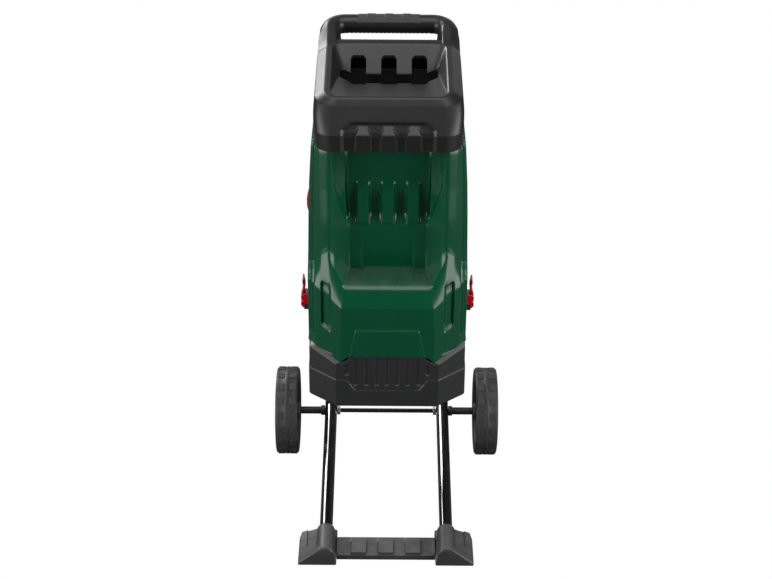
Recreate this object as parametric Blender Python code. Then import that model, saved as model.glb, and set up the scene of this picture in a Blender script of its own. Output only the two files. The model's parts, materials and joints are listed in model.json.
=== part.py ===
"""Electric garden wood chipper: knife disc, tilting feed housing, tube frame on two wheels.

Sizes are in millimetres and become metres in the mesh.  +Z is up, -Y is the front (foot side),
+Y the rear (wheel side).  The origin is the middle of the footprint, on the ground.
"""
import math

import bmesh
import bpy
from mathutils import Matrix, Vector

MM = 0.001
GAP = 0.3                    # clearance between pieces that touch

# ---- frame and wheels -------------------------------------------------------------------------
WHEEL_RADIUS = 80.0
WHEEL_WIDTH = 40.0
WHEEL_INNER_X = 160.5        # inner face of the tyre
TYRE_DEPTH = 14.0
FOOT_TO_AXLE = 345.0         # foot front edge to axle
AXLE_RADIUS = 4.0
TUBE_RADIUS = 11.0
TUBE_WALL = 1.5
LEG_X = 102.0                # leg centre line from the middle
LOWER_RISE = 9.8             # degrees, lower run of a leg from foot to axle
UPPER_LEAN = 24.0            # degrees, upper run of a leg from the vertical
BEND_RADIUS = 32.0
BEND_OFFSET = 45.0           # axle to the corner where the two runs would meet
LEG_TOP_Z = 326.0
LEG_BOLT_Z = 308.0

HALF_DEPTH = (FOOT_TO_AXLE + WHEEL_RADIUS) / 2
AXLE_Y = HALF_DEPTH - WHEEL_RADIUS
AXLE_Z = WHEEL_RADIUS
FOOT_FRONT_Y = -HALF_DEPTH

FOOT_HALF = 148.0
FOOT_INNER_X = 83.5
FOOT_DEPTH = 82.0
FOOT_TIP = 5.0
FOOT_HEIGHT = 34.0
SLEEVE_RADIUS = 15.0
SLEEVE_REAR_Y = FOOT_FRONT_Y + 56.0
TUBE_END_Y = FOOT_FRONT_Y + 9.0
BAR_DEPTH = 44.0
BAR_HEIGHT = 11.0
BAR_SETBACK = 14.0

# ---- body -------------------------------------------------------------------------------------
BASE_BOTTOM_Z = 261.0
PARTING_Z = 355.0
BODY_FRONT_Y = -118.0
BODY_REAR_Y = 128.0
BODY_HALF = 130.0
REAR_CORNER = 14.0
BULGE_TOP_Z = 480.0
SHOULDER_Z = 691.0
BODY_TOP_Z = 703.7           # the hopper stands on it
SHELL_WALL = 3.5
BASE_WALL = 4.0
LEDGE = 4.0                  # extra wall that carries the cutter deck
DECK_THICKNESS = 4.0
CHANNEL_BACK_Y = -45.0
CHANNEL_BACK_HALF = 62.0
CHANNEL_MOUTH_Y = -76.0
CHANNEL_MOUTH_HALF = 91.0
VENT_COUNT = 7
VENT_WIDTH = 6.3
VENT_PITCH = 16.9
VENT_BOTTOM_Z = 299.0
VENT_TOP_Z = 344.0

# ---- hopper and handle ------------------------------------------------------------------------
HOPPER_WALL = 3.5
HOPPER_BOTTOM_Z = BODY_TOP_Z + GAP
HOPPER_HALF = 117.0
HOPPER_FRONT_Y = -85.0
SKIRT_TOP_Z = 733.0
RIM_FRONT_Y = -52.0
RIM_FRONT_Z = 781.0
RIM_REAR_Y = 128.5
RIM_REAR_Z = 807.0
RIM_HALF = 101.0
RIM_WIDTH = 5.0
SLOT_Z = 768.0
SLOT_HALF = 79.0
SLOT_FRONT_Y = 39.0
SLOT_REAR_Y = 80.0
CROSS_SLOT_X = 49.0
CROSS_SLOT_WIDTH = 25.0
CROSS_SLOT_FRONT_Y = 36.0
CROSS_SLOT_REAR_Y = 101.0
HANDLE_RADIUS = 15.5
HANDLE_Y = AXLE_Y + 48.0
HANDLE_Z = 813.0
HANDLE_ARM_X = 99.5
HANDLE_BEND = 32.0
GRIP_LENGTH = 101.0
GRIP_THICKNESS = 2.0

# ---- feed chute -------------------------------------------------------------------------------
CHUTE_WALL = 3.0
CHUTE_TOP_Z = SLOT_Z - HOPPER_WALL - GAP
CHUTE_BOTTOM_Z = 378.0
CHUTE_TOP_HALF = 83.0
CHUTE_TOP_FRONT_Y = 33.0
CHUTE_TOP_REAR_Y = 104.0
CHUTE_BOTTOM_HALF = 36.0
CHUTE_BOTTOM_FRONT_Y = 8.0
CHUTE_BOTTOM_REAR_Y = 62.0
CHUTE_FLANGE = 8.0           # rests on the green housing's top
CHUTE_FLANGE_THICKNESS = 3.0
FLAP_THICKNESS = 2.0
FLAP_LENGTH = 46.0

# ---- discharge chute --------------------------------------------------------------------------
OUTLET_HALF = 54.0
OUTLET_FRONT_Y = 52.0
OUTLET_REAR_Y = 104.0
OUTLET_WALL = 2.5
OUTLET_DROP = 10.0           # below the base shell's floor

# ---- motor and cutter -------------------------------------------------------------------------
ROTOR_Y = -17.0
MOTOR_RADIUS = 57.0
MOTOR_WALL = 5.0
MOTOR_BOTTOM_Z = 268.5
SHAFT_RADIUS = 6.0
BEARING_RADIUS = 14.0
BEARING_WIDTH = 7.0
END_CAP = 8.0
STATOR_INNER = 42.0
ARMATURE_RADIUS = 40.0
COMMUTATOR_RADIUS = 15.0
COMMUTATOR_HEIGHT = 8.0
FAN_RADIUS = 46.0
FAN_HEIGHT = 6.0
DISC_Z = 362.0
DISC_RADIUS = 88.0
DISC_THICKNESS = 5.0
BLADE_INNER = 18.0
BLADE_OUTER = 80.0
BLADE_WIDTH = 30.0
BLADE_THICKNESS = 4.0
MOTOR_SCREW_RADIUS = 2.5
MOTOR_SCREW_CIRCLE = 44.0

# ---- hinge, latches, switch -------------------------------------------------------------------
HINGE_Y = BODY_REAR_Y + 7.5
HINGE_Z = PARTING_Z
KNUCKLE_RADIUS = 6.5
HINGE_PIN_RADIUS = 2.5
BASE_KNUCKLE_X = 66.0
KNUCKLE_LENGTH = 24.0
LATCH_Y = 62.0
LATCH_WIDTH = 21.0
LATCH_PIVOT_OUT = 8.5        # from the body's flank
LATCH_PIVOT_Z = 350.0
LATCH_PIN_RADIUS = 2.0
SWITCH_Y = 70.0
SWITCH_Z = 545.0
SWITCH_HEIGHT = 39.0
SWITCH_WIDTH = 24.0
SWITCH_TILT = 5.0
RESET_Y = 102.0
RESET_RADIUS = 6.0
COVER_HALF = 66.0
COVER_BOTTOM_Z = 488.0
COVER_TOP_Z = 640.0
COVER_THICKNESS = 3.0
INLET_Z = 520.0


# ---- shared modelling steps -------------------------------------------------------------------
def finish(name, colour, roughness, metallic=0.0):
    """A plain moulded or metal finish."""
    made = bpy.data.materials.new(name)
    made.use_nodes = True
    shader = made.node_tree.nodes["Principled BSDF"]
    shader.inputs["Base Color"].default_value = (*colour, 1.0)
    shader.inputs["Roughness"].default_value = roughness
    shader.inputs["Metallic"].default_value = metallic
    return made


def place(name, form, material, origin=(0, 0, 0)):
    """Puts a finished bmesh, drawn in world millimetres, in the scene with its origin moved."""
    bmesh.ops.recalc_face_normals(form, faces=form.faces)
    bmesh.ops.translate(form, verts=form.verts, vec=-Vector(origin))
    bmesh.ops.scale(form, verts=form.verts, vec=(MM, MM, MM))
    mesh = bpy.data.meshes.new(name)
    form.to_mesh(mesh)
    form.free()
    if material:
        mesh.materials.append(material)
    piece = bpy.data.objects.new(name, mesh)
    piece.location = Vector(origin) * MM
    bpy.context.collection.objects.link(piece)
    return piece


def rings_to_form(rings, looped=False):
    """Skins a row of equal rings; ends are capped, or joined to each other when looped."""
    form = bmesh.new()
    rows = [[form.verts.new(point) for point in ring] for ring in rings]
    pairs = list(zip(rows, rows[1:]))
    if looped:
        pairs.append((rows[-1], rows[0]))
    else:
        form.faces.new(rows[0])
        form.faces.new(list(reversed(rows[-1])))
    for low, high in pairs:
        for index, corner in enumerate(low):
            after = (index + 1) % len(low)
            form.faces.new((corner, low[after], high[after], high[index]))
    return form


def loft(name, rings, material=None, looped=False, origin=(0, 0, 0)):
    return place(name, rings_to_form(rings, looped), material, origin)


def prism(name, outline, low, high, axis="z", material=None, origin=(0, 0, 0)):
    """Extrudes an outline along an axis; the outline gives the two other coordinates in order."""
    lift = {
        "x": lambda a, b, level: (level, a, b),
        "y": lambda a, b, level: (a, level, b),
        "z": lambda a, b, level: (a, b, level),
    }[axis]
    rings = [[lift(a, b, level) for a, b in outline] for level in (low, high)]
    return loft(name, rings, material, origin=origin)


def box(name, x_span, y_span, z_span, material=None, origin=(0, 0, 0)):
    corners = [(x_span[0], y_span[0]), (x_span[1], y_span[0]), (x_span[1], y_span[1]), (x_span[0], y_span[1])]
    return prism(name, corners, z_span[0], z_span[1], "z", material, origin)


def circle(radius, steps, turn=0.0):
    return [
        (radius * math.cos(turn + math.tau * step / steps), radius * math.sin(turn + math.tau * step / steps))
        for step in range(steps)
    ]


def turned(name, profile, centre, axis="z", steps=28, material=None, origin=(0, 0, 0)):
    """Revolves a closed profile of (radius, level) points; it keeps a hole along its axis."""
    rings = []
    for radius, level in profile:
        ring = []
        for a, b in circle(radius, steps):
            if axis == "z":
                ring.append((centre[0] + a, centre[1] + b, level))
            else:
                ring.append((level, centre[0] + a, centre[1] + b))
        rings.append(ring)
    return loft(name, rings, material, looped=True, origin=origin)


def rod(name, start, end, radius, material=None, steps=16, origin=(0, 0, 0)):
    """A straight round bar between two points."""
    start, end = Vector(start), Vector(end)
    turn = (end - start).to_track_quat("Z", "Y")
    rings = [[point + turn @ Vector((a, b, 0)) for a, b in circle(radius, steps)] for point in (start, end)]
    return loft(name, rings, material, origin=origin)


def stepped_rod(name, axis_start, direction, steps_out, material, sides=14, origin=(0, 0, 0)):
    """A screw or pin: steps_out lists (distance, radius) along its axis."""
    turn = Vector(direction).to_track_quat("Z", "Y")
    start = Vector(axis_start)
    rings = []
    for distance, radius in steps_out:
        middle = start + Vector(direction).normalized() * distance
        rings.append([middle + turn @ Vector((a, b, 0)) for a, b in circle(radius, sides)])
    return loft(name, rings, material, origin=origin)


def combine(piece, other, operation):
    """Cuts or joins with a hidden guide that stays in the file."""
    step = piece.modifiers.new(other.name, "BOOLEAN")
    step.operation = operation
    step.solver = "EXACT"
    step.object = other
    other.hide_render = True
    other.display_type = "WIRE"
    return piece


def cut(piece, other):
    return combine(piece, other, "DIFFERENCE")


def join(piece, other):
    return combine(piece, other, "UNION")


def inset(outline, distance):
    """Moves every edge of a convex, anticlockwise outline inwards."""
    moved = []
    count = len(outline)
    for index in range(count):
        before, here, after = (Vector(outline[(index + shift) % count]) for shift in (-1, 0, 1))
        first = (here - before).normalized()
        second = (after - here).normalized()
        first_in = Vector((-first.y, first.x))
        second_in = Vector((-second.y, second.x))
        corner = (first_in + second_in) / (1.0 + first_in.dot(second_in))
        moved.append(tuple(here + corner * distance))
    return moved


def body_outline(front_half, front_y, flank_half, chamfer_y, rear_y=BODY_REAR_Y, corner=REAR_CORNER):
    """The eight-sided plan of the body: flat front, chamfers, flanks and cut rear corners."""
    right = [(front_half, front_y), (flank_half, chamfer_y), (flank_half, rear_y - corner),
             (flank_half - corner, rear_y)]
    return right + [(-x, y) for x, y in reversed(right)]


def at_level(outline, z):
    return [(x, y, z) for x, y in outline]


def smooth(piece, degrees=35.0):
    piece.data.shade_smooth()
    piece.data.set_sharp_from_angle(angle=math.radians(degrees))
    return piece


# ---- frame ------------------------------------------------------------------------------------
def leg_heading(degrees):
    return Vector((0.0, math.cos(math.radians(degrees)), math.sin(math.radians(degrees))))


def leg_path():
    """Centre line of a leg in the plane x = 0: lower run, bend behind the axle, upper run."""
    axle = Vector((0.0, AXLE_Y, AXLE_Z))
    low = leg_heading(LOWER_RISE)
    high = leg_heading(90.0 + UPPER_LEAN)
    corner = axle + low * BEND_OFFSET
    turn = math.radians(90.0 + UPPER_LEAN - LOWER_RISE)
    tangent = BEND_RADIUS * math.tan(turn / 2)
    bend_start = corner - low * tangent
    normal = Vector((0.0, -low.z, low.y))
    middle = bend_start + normal * BEND_RADIUS
    path = [axle + low * ((TUBE_END_Y - AXLE_Y) / low.y)]
    bend_steps = 9
    for step in range(bend_steps + 1):
        angle = turn * step / bend_steps
        path.append(middle + (low * math.sin(angle) - normal * math.cos(angle)) * BEND_RADIUS)
    path.append(corner + high * ((LEG_TOP_Z - corner.z) / high.z))
    return path


def leg_point(z):
    """Point of the upper run at a height."""
    corner = Vector((0.0, AXLE_Y, AXLE_Z)) + leg_heading(LOWER_RISE) * BEND_OFFSET
    high = leg_heading(90.0 + UPPER_LEAN)
    return corner + high * ((z - corner.z) / high.z)


def lower_run_z(y):
    return AXLE_Z + (y - AXLE_Y) * math.tan(math.radians(LOWER_RISE))


def swept_rings(path, radius, x, steps):
    rings = []
    for index, point in enumerate(path):
        before = path[max(index - 1, 0)]
        after = path[min(index + 1, len(path) - 1)]
        heading = (after - before).normalized()
        if index in (1, len(path) - 2):
            outer = path[0] if index == 1 else path[-1]
            heading = (point - outer).normalized() * (1 if index == 1 else -1)
        across = Vector((0.0, -heading.z, heading.y))
        rings.append([point + Vector((x + a, 0, 0)) + across * b for a, b in circle(radius, steps)])
    return rings


def make_leg(side, sign, steel):
    path = leg_path()
    outer = swept_rings(path, TUBE_RADIUS, sign * LEG_X, 14)
    inner = swept_rings(path, TUBE_RADIUS - TUBE_WALL, sign * LEG_X, 14)
    leg = loft(side + "_leg_tube", outer + inner[::-1], steel, looped=True)
    reach = TUBE_RADIUS + 5
    for label, y, z, radius in (("axle", AXLE_Y, AXLE_Z, AXLE_RADIUS + GAP),
                                ("bolt", leg_point(LEG_BOLT_Z).y, LEG_BOLT_Z, LEG_BOLT_RADIUS + GAP)):
        hole = rod(f"{side}_leg_{label}_hole", (sign * LEG_X - reach, y, z), (sign * LEG_X + reach, y, z), radius)
        cut(leg, hole)
    screw_z = lower_run_z(FOOT_SCREW_Y)
    hole = rod(side + "_leg_screw_hole", (sign * LEG_X, FOOT_SCREW_Y, 0), (sign * LEG_X, FOOT_SCREW_Y, screw_z),
               FOOT_SCREW_RADIUS + GAP)
    cut(leg, hole)
    return smooth(leg)


LEG_BOLT_RADIUS = 3.0
LEG_BOLT_HEAD = 7.0
FOOT_SCREW_RADIUS = 2.2
FOOT_SCREW_HEAD = 4.5
FOOT_SCREW_Y = FOOT_FRONT_Y + 36.0
FOOT_SCREW_SEAT = 4.0


def make_leg_bolt(side, sign, steel):
    y = leg_point(LEG_BOLT_Z).y
    start = (sign * (LEG_X - TUBE_RADIUS - 3), y, LEG_BOLT_Z)
    head_at = BODY_HALF + 0.4 - (LEG_X - TUBE_RADIUS - 3)
    bolt = stepped_rod(side + "_leg_bolt", start, (sign, 0, 0),
                       [(0, LEG_BOLT_RADIUS), (head_at, LEG_BOLT_RADIUS), (head_at, LEG_BOLT_HEAD),
                        (head_at + 2.5, LEG_BOLT_HEAD), (head_at + 3.5, LEG_BOLT_HEAD - 1.5)], steel)
    return smooth(bolt)


def make_axle(steel):
    reach = WHEEL_INNER_X + WHEEL_WIDTH - 12
    return smooth(rod("axle_rod", (-reach, AXLE_Y, AXLE_Z), (reach, AXLE_Y, AXLE_Z), AXLE_RADIUS, steel))


def make_axle_sleeve(side, sign, plastic):
    """Spacer tube with a collar that bears on the leg."""
    bore, body, collar = AXLE_RADIUS + GAP, 6.7, 9.0
    start = LEG_X + TUBE_RADIUS + GAP
    end = WHEEL_INNER_X - 2.5
    profile = [(bore, start), (collar, start), (collar, start + 7), (body, start + 7), (body, end), (bore, end)]
    profile = [(radius, sign * level) for radius, level in profile]
    return smooth(turned(side + "_axle_sleeve", profile, (AXLE_Y, AXLE_Z), "x", 20, plastic))


def make_axle_nut(side, sign, steel):
    outer = sign * (LEG_X - TUBE_RADIUS - GAP)
    inner = outer - sign * 5.5
    bore = (AXLE_RADIUS + GAP) / math.cos(math.pi / 6)
    flat = [(bore, outer), (8.0, outer), (8.0, inner), (bore, inner)]
    return turned(side + "_axle_nut", flat, (AXLE_Y, AXLE_Z), "x", 6, steel)


def make_foot_block(side, sign, plastic):
    """Ramp-topped foot with a sleeve that the leg is pushed into."""
    outline = [(FOOT_INNER_X, 0), (FOOT_HALF, 0), (FOOT_HALF, FOOT_TIP), (FOOT_HALF - 30, 21),
               (LEG_X + SLEEVE_RADIUS, FOOT_HEIGHT), (LEG_X - SLEEVE_RADIUS, FOOT_HEIGHT),
               (FOOT_INNER_X, FOOT_HEIGHT - 6)]
    outline = [(sign * x, z) for x, z in outline]
    block = prism(side + "_foot", outline, FOOT_FRONT_Y, FOOT_FRONT_Y + FOOT_DEPTH, "y", plastic)
    behind = FOOT_FRONT_Y + FOOT_DEPTH + 30
    sleeve_front = FOOT_FRONT_Y + 30
    sleeve = rod(side + "_foot_sleeve", (sign * LEG_X, sleeve_front, lower_run_z(sleeve_front)),
                 (sign * LEG_X, SLEEVE_REAR_Y, lower_run_z(SLEEVE_REAR_Y)), SLEEVE_RADIUS, steps=20)
    relief_low = FOOT_FRONT_Y + FOOT_DEPTH - 28
    relief = [(relief_low, lower_run_z(relief_low) - TUBE_RADIUS - 4), (behind, lower_run_z(behind) - TUBE_RADIUS - 4),
              (behind, 90), (relief_low, 90)]
    clear = prism(side + "_foot_relief", relief, sign * (LEG_X - SLEEVE_RADIUS - 6), sign * (LEG_X + SLEEVE_RADIUS + 6),
                  "x")
    bore = rod(side + "_foot_bore", (sign * LEG_X, TUBE_END_Y - 1, lower_run_z(TUBE_END_Y - 1)),
               (sign * LEG_X, behind, lower_run_z(behind)), TUBE_RADIUS + GAP, steps=20)
    screw = stepped_rod(side + "_foot_screw_hole", (sign * LEG_X, FOOT_SCREW_Y, -1), (0, 0, 1),
                        [(0, FOOT_SCREW_HEAD + GAP), (1 + FOOT_SCREW_SEAT, FOOT_SCREW_HEAD + GAP),
                         (1 + FOOT_SCREW_SEAT, FOOT_SCREW_RADIUS + GAP), (20, FOOT_SCREW_RADIUS + GAP)], None)
    cut(block, clear)
    join(block, sleeve)
    cut(block, bore)
    cut(block, screw)
    return smooth(block)


def make_foot_screw(side, sign, steel):
    end = lower_run_z(FOOT_SCREW_Y) - TUBE_RADIUS + 6
    seat = FOOT_SCREW_SEAT - GAP
    screw = stepped_rod(side + "_foot_screw", (sign * LEG_X, FOOT_SCREW_Y, 1.2), (0, 0, 1),
                        [(0, FOOT_SCREW_HEAD), (seat - 1.2, FOOT_SCREW_HEAD), (seat - 1.2, FOOT_SCREW_RADIUS),
                         (end - 1.2, FOOT_SCREW_RADIUS)], steel)
    return smooth(screw)


def make_foot_bar(plastic):
    """Cross bar between the feet, with three raised tread blocks."""
    half = FOOT_INNER_X - GAP
    front = FOOT_FRONT_Y + BAR_SETBACK
    outline = [(front, 0), (front + BAR_DEPTH, 0), (front + BAR_DEPTH, BAR_HEIGHT + 5), (front + 8, BAR_HEIGHT + 5),
               (front, BAR_HEIGHT)]
    bar = prism("foot_cross_bar", outline, -half, half, "x", plastic)
    for index in (-1, 0, 1):
        middle = index * 46.0
        block = [(middle - 13, BAR_HEIGHT), (middle + 13, BAR_HEIGHT), (middle + 11, BAR_HEIGHT + 9),
                 (middle - 11, BAR_HEIGHT + 9)]
        join(bar, prism(f"foot_tread_{index + 2}", block, front + 10, front + BAR_DEPTH - 6, "y"))
    return bar


# ---- wheels -----------------------------------------------------------------------------------
def make_wheel(side, sign, plastic, rubber):
    centre = (AXLE_Y, AXLE_Z)
    origin = (0, AXLE_Y, AXLE_Z)
    inner, outer = WHEEL_INNER_X, WHEEL_INNER_X + WHEEL_WIDTH
    rim_radius = WHEEL_RADIUS - TYRE_DEPTH
    tyre_profile = [(rim_radius, inner + 3), (WHEEL_RADIUS - 5, inner), (WHEEL_RADIUS, inner + 5),
                    (WHEEL_RADIUS, outer - 5), (WHEEL_RADIUS - 5, outer), (rim_radius, outer - 3)]
    tyre = turned(side + "_tyre", [(r, sign * x) for r, x in tyre_profile], centre, "x", 40, rubber, origin)
    seat = rim_radius - GAP
    bore = AXLE_RADIUS + GAP
    web_low, web_high = inner + 17, inner + 23
    rim_profile = [(bore, inner - 2), (15, inner - 2), (16, web_low), (rim_radius - 7, web_low),
                   (rim_radius - 6, inner + 2), (seat, inner + 2), (seat, outer - 2), (rim_radius - 6, outer - 2),
                   (rim_radius - 7, web_high), (16, web_high), (15, outer - 7), (bore, outer - 7)]
    rim = turned(side + "_wheel_rim", [(r, sign * x) for r, x in rim_profile], centre, "x", 40, plastic, origin)
    for index in range(6):
        angle = math.tau * index / 6
        hole_y = AXLE_Y + 37 * math.cos(angle)
        hole_z = AXLE_Z + 37 * math.sin(angle)
        hole = rod(f"{side}_rim_window_{index + 1}", (sign * (web_low - 2), hole_y, hole_z),
                   (sign * (web_high + 2), hole_y, hole_z), 12.5, steps=14)
        cut(rim, hole)
    cap_profile = [(2.0, outer - 6.7), (14, outer - 6.7), (14, outer - 3), (10, outer - 1), (2.0, outer - 1)]
    cap = turned(side + "_hub_cap", [(r, sign * x) for r, x in cap_profile], centre, "x", 24, plastic, origin)
    return [smooth(piece) for piece in (tyre, rim, cap)]


# ---- base housing -----------------------------------------------------------------------------
def base_outline():
    return body_outline(80.5, BODY_FRONT_Y - 0.5, BODY_HALF, -82.5)


def make_base_shell(plastic):
    top = base_outline()
    waist = body_outline(84, BODY_FRONT_Y, BODY_HALF - 0.5, -81)
    bottom = inset(waist, 5.0)
    shell = loft("base_shell", [at_level(bottom, BASE_BOTTOM_Z), at_level(waist, BASE_BOTTOM_Z + 8),
                                at_level(top, PARTING_Z)], plastic)
    floor = BASE_BOTTOM_Z + BASE_WALL + 0.5
    ledge_z = PARTING_Z - 1 - DECK_THICKNESS - GAP
    deep = inset(top, BASE_WALL + LEDGE)
    wide = inset(top, BASE_WALL)
    hollow = loft("base_hollow", [at_level(inset(deep, 1.5), floor), at_level(deep, ledge_z), at_level(wide, ledge_z),
                                  at_level(wide, PARTING_Z + 5)])
    cut(shell, hollow)
    for sign in (-1, 1):
        low, high = leg_point(floor - 2), leg_point(LEG_TOP_Z - 4)
        boss = rod(f"leg_socket_{sign + 2}", (sign * LEG_X, low.y, low.z), (sign * LEG_X, high.y, high.z),
                   TUBE_RADIUS + 4, steps=20)
        join(shell, boss)
    for sign in (-1, 1):
        low, high = leg_point(BASE_BOTTOM_Z - 15), leg_point(LEG_TOP_Z + 12)
        bore = rod(f"leg_bore_{sign + 2}", (sign * LEG_X, low.y, low.z), (sign * LEG_X, high.y, high.z),
                   TUBE_RADIUS + GAP, steps=20)
        cut(shell, bore)
        y = leg_point(LEG_BOLT_Z).y
        cut(shell, rod(f"leg_bolt_way_{sign + 2}", (sign * 80, y, LEG_BOLT_Z), (sign * 140, y, LEG_BOLT_Z),
                       LEG_BOLT_RADIUS + GAP))
    clear = OUTLET_WALL + GAP
    cut(shell, box("outlet_way", (-OUTLET_HALF - clear, OUTLET_HALF + clear),
                   (OUTLET_FRONT_Y - clear, OUTLET_REAR_Y + clear), (BASE_BOTTOM_Z - 5, floor + 3)))
    for index in range(VENT_COUNT):
        middle = (index - (VENT_COUNT - 1) / 2) * VENT_PITCH
        cut(shell, box(f"vent_{index + 1}", (middle - VENT_WIDTH / 2, middle + VENT_WIDTH / 2),
                       (BODY_FRONT_Y - 5, BODY_FRONT_Y + 16), (VENT_BOTTOM_Z, VENT_TOP_Z)))
    for sign in (-1, 1):
        start = sign * (BASE_KNUCKLE_X - KNUCKLE_LENGTH / 2)
        add_knuckle(shell, f"base_knuckle_{sign + 2}", start, start + sign * KNUCKLE_LENGTH, -1)
    return shell


def add_knuckle(shell, name, start, end, way):
    """Round eye with a web back to its shell; way is -1 below the parting plane, 1 above."""
    outline = []
    steps = 12
    for step in range(steps + 1):
        angle = -way * math.pi / 2 + way * math.pi * step / steps
        outline.append((HINGE_Y + KNUCKLE_RADIUS * math.cos(angle), HINGE_Z + KNUCKLE_RADIUS * math.sin(angle)))
    root = BODY_REAR_Y - 2
    outline += [(HINGE_Y - 2, HINGE_Z + way * KNUCKLE_RADIUS), (root, HINGE_Z + way * 20), (root, HINGE_Z + way * 4),
                (HINGE_Y - KNUCKLE_RADIUS, HINGE_Z + way * 1.0), (HINGE_Y - 3, HINGE_Z - way * 5.5)]
    join(shell, prism(name, outline, start, end, "x"))
    cut(shell, rod(name + "_bore", (start - math.copysign(2, end - start), HINGE_Y, HINGE_Z),
                   (end + math.copysign(2, end - start), HINGE_Y, HINGE_Z), HINGE_PIN_RADIUS + GAP))


def make_hinge_pin(steel):
    reach = BASE_KNUCKLE_X + KNUCKLE_LENGTH / 2 + 1
    return smooth(rod("hinge_pin", (-reach, HINGE_Y, HINGE_Z), (reach, HINGE_Y, HINGE_Z), HINGE_PIN_RADIUS, steel))


def motor_screw_spots():
    return [(sign * MOTOR_SCREW_CIRCLE, ROTOR_Y) for sign in (-1, 1)]


def make_cutter_deck(steel):
    top = PARTING_Z - 1
    outline = inset(base_outline(), BASE_WALL + 2 * GAP)
    deck = prism("cutter_deck", outline, top - DECK_THICKNESS, top, "z", steel)
    cut(deck, rod("deck_shaft_hole", (0, ROTOR_Y, top - 20), (0, ROTOR_Y, top + 5), SHAFT_RADIUS + 6, steps=24))
    cut(deck, box("deck_outlet", (-OUTLET_HALF, OUTLET_HALF), (OUTLET_FRONT_Y, OUTLET_REAR_Y), (top - 20, top + 5)))
    for index, (x, y) in enumerate(motor_screw_spots()):
        cut(deck, rod(f"deck_screw_hole_{index + 1}", (x, y, top - 20), (x, y, top + 5), MOTOR_SCREW_RADIUS + GAP))
    return deck


def make_discharge_chute(plastic):
    """Straight duct from the deck down through the floor."""
    top = PARTING_Z - 1 - DECK_THICKNESS - GAP
    low = BASE_BOTTOM_Z - OUTLET_DROP
    span_y = (OUTLET_FRONT_Y, OUTLET_REAR_Y)

    def ring(grow, z):
        return [(-OUTLET_HALF - grow, span_y[0] - grow, z), (OUTLET_HALF + grow, span_y[0] - grow, z),
                (OUTLET_HALF + grow, span_y[1] + grow, z), (-OUTLET_HALF - grow, span_y[1] + grow, z)]

    rings = [ring(0, low), ring(OUTLET_WALL, low), ring(OUTLET_WALL, top), ring(0, top)]
    return loft("discharge_chute", rings, plastic, looped=True)


# ---- motor and rotor --------------------------------------------------------------------------
def motor_top():
    return PARTING_Z - 1 - DECK_THICKNESS - GAP


def make_motor(steel, copper, plastic):
    centre = (0, ROTOR_Y)
    top = motor_top()
    inner = MOTOR_RADIUS - MOTOR_WALL
    low_cap = MOTOR_BOTTOM_Z + END_CAP
    can_profile = [(BEARING_RADIUS, MOTOR_BOTTOM_Z), (MOTOR_RADIUS, MOTOR_BOTTOM_Z), (MOTOR_RADIUS, top),
                   (BEARING_RADIUS, top), (BEARING_RADIUS, top - END_CAP), (inner, top - END_CAP), (inner, low_cap),
                   (BEARING_RADIUS, low_cap)]
    can = turned("motor_can", can_profile, centre, "z", 32, steel)
    for index, (x, y) in enumerate(motor_screw_spots()):
        cut(can, rod(f"can_screw_hole_{index + 1}", (x, y, top - END_CAP - 2), (x, y, top + 2),
                     MOTOR_SCREW_RADIUS + GAP))
    for index in range(6):
        angle = math.tau * (index + 0.5) / 6
        x, y = 34 * math.cos(angle), ROTOR_Y + 34 * math.sin(angle)
        cut(can, rod(f"can_air_hole_{index + 1}", (x, y, MOTOR_BOTTOM_Z - 2), (x, y, low_cap + 2), 9.0, steps=12))
    stator = turned("motor_stator", [(STATOR_INNER, low_cap + 12), (inner - GAP, low_cap + 12),
                                     (inner - GAP, top - END_CAP - 14), (STATOR_INNER, top - END_CAP - 14)],
                    centre, "z", 32, copper)
    pieces = [can, stator]
    ring = [(SHAFT_RADIUS + GAP, 0), (BEARING_RADIUS - GAP, 0), (BEARING_RADIUS - GAP, BEARING_WIDTH),
            (SHAFT_RADIUS + GAP, BEARING_WIDTH)]
    for name, z in (("lower_bearing", MOTOR_BOTTOM_Z + 0.5), ("upper_bearing", top - BEARING_WIDTH - 0.5)):
        pieces.append(turned(name, [(r, z + level) for r, level in ring], centre, "z", 24, steel))
    brush_z = top - END_CAP - 2 - COMMUTATOR_HEIGHT
    for side, sign in (("left", -1), ("right", 1)):
        span = sorted((sign * (COMMUTATOR_RADIUS + 0.4), sign * (inner - 1.0)))
        pieces.append(box(side + "_brush_holder", span, (ROTOR_Y - 5, ROTOR_Y + 5), (brush_z + 1, brush_z + 8),
                          plastic))
    for piece in pieces[:4]:
        smooth(piece)
    return pieces


def make_motor_screws(steel):
    deck_top = PARTING_Z - 1
    for index, (x, y) in enumerate(motor_screw_spots()):
        smooth(stepped_rod(f"motor_screw_{index + 1}", (x, y, motor_top() - END_CAP + 1), (0, 0, 1),
                           [(0, MOTOR_SCREW_RADIUS), (deck_top + GAP - motor_top() + END_CAP - 1, MOTOR_SCREW_RADIUS),
                            (deck_top + GAP - motor_top() + END_CAP - 1, 4.5),
                            (deck_top + GAP - motor_top() + END_CAP + 2, 4.5)], steel, 12))


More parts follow.
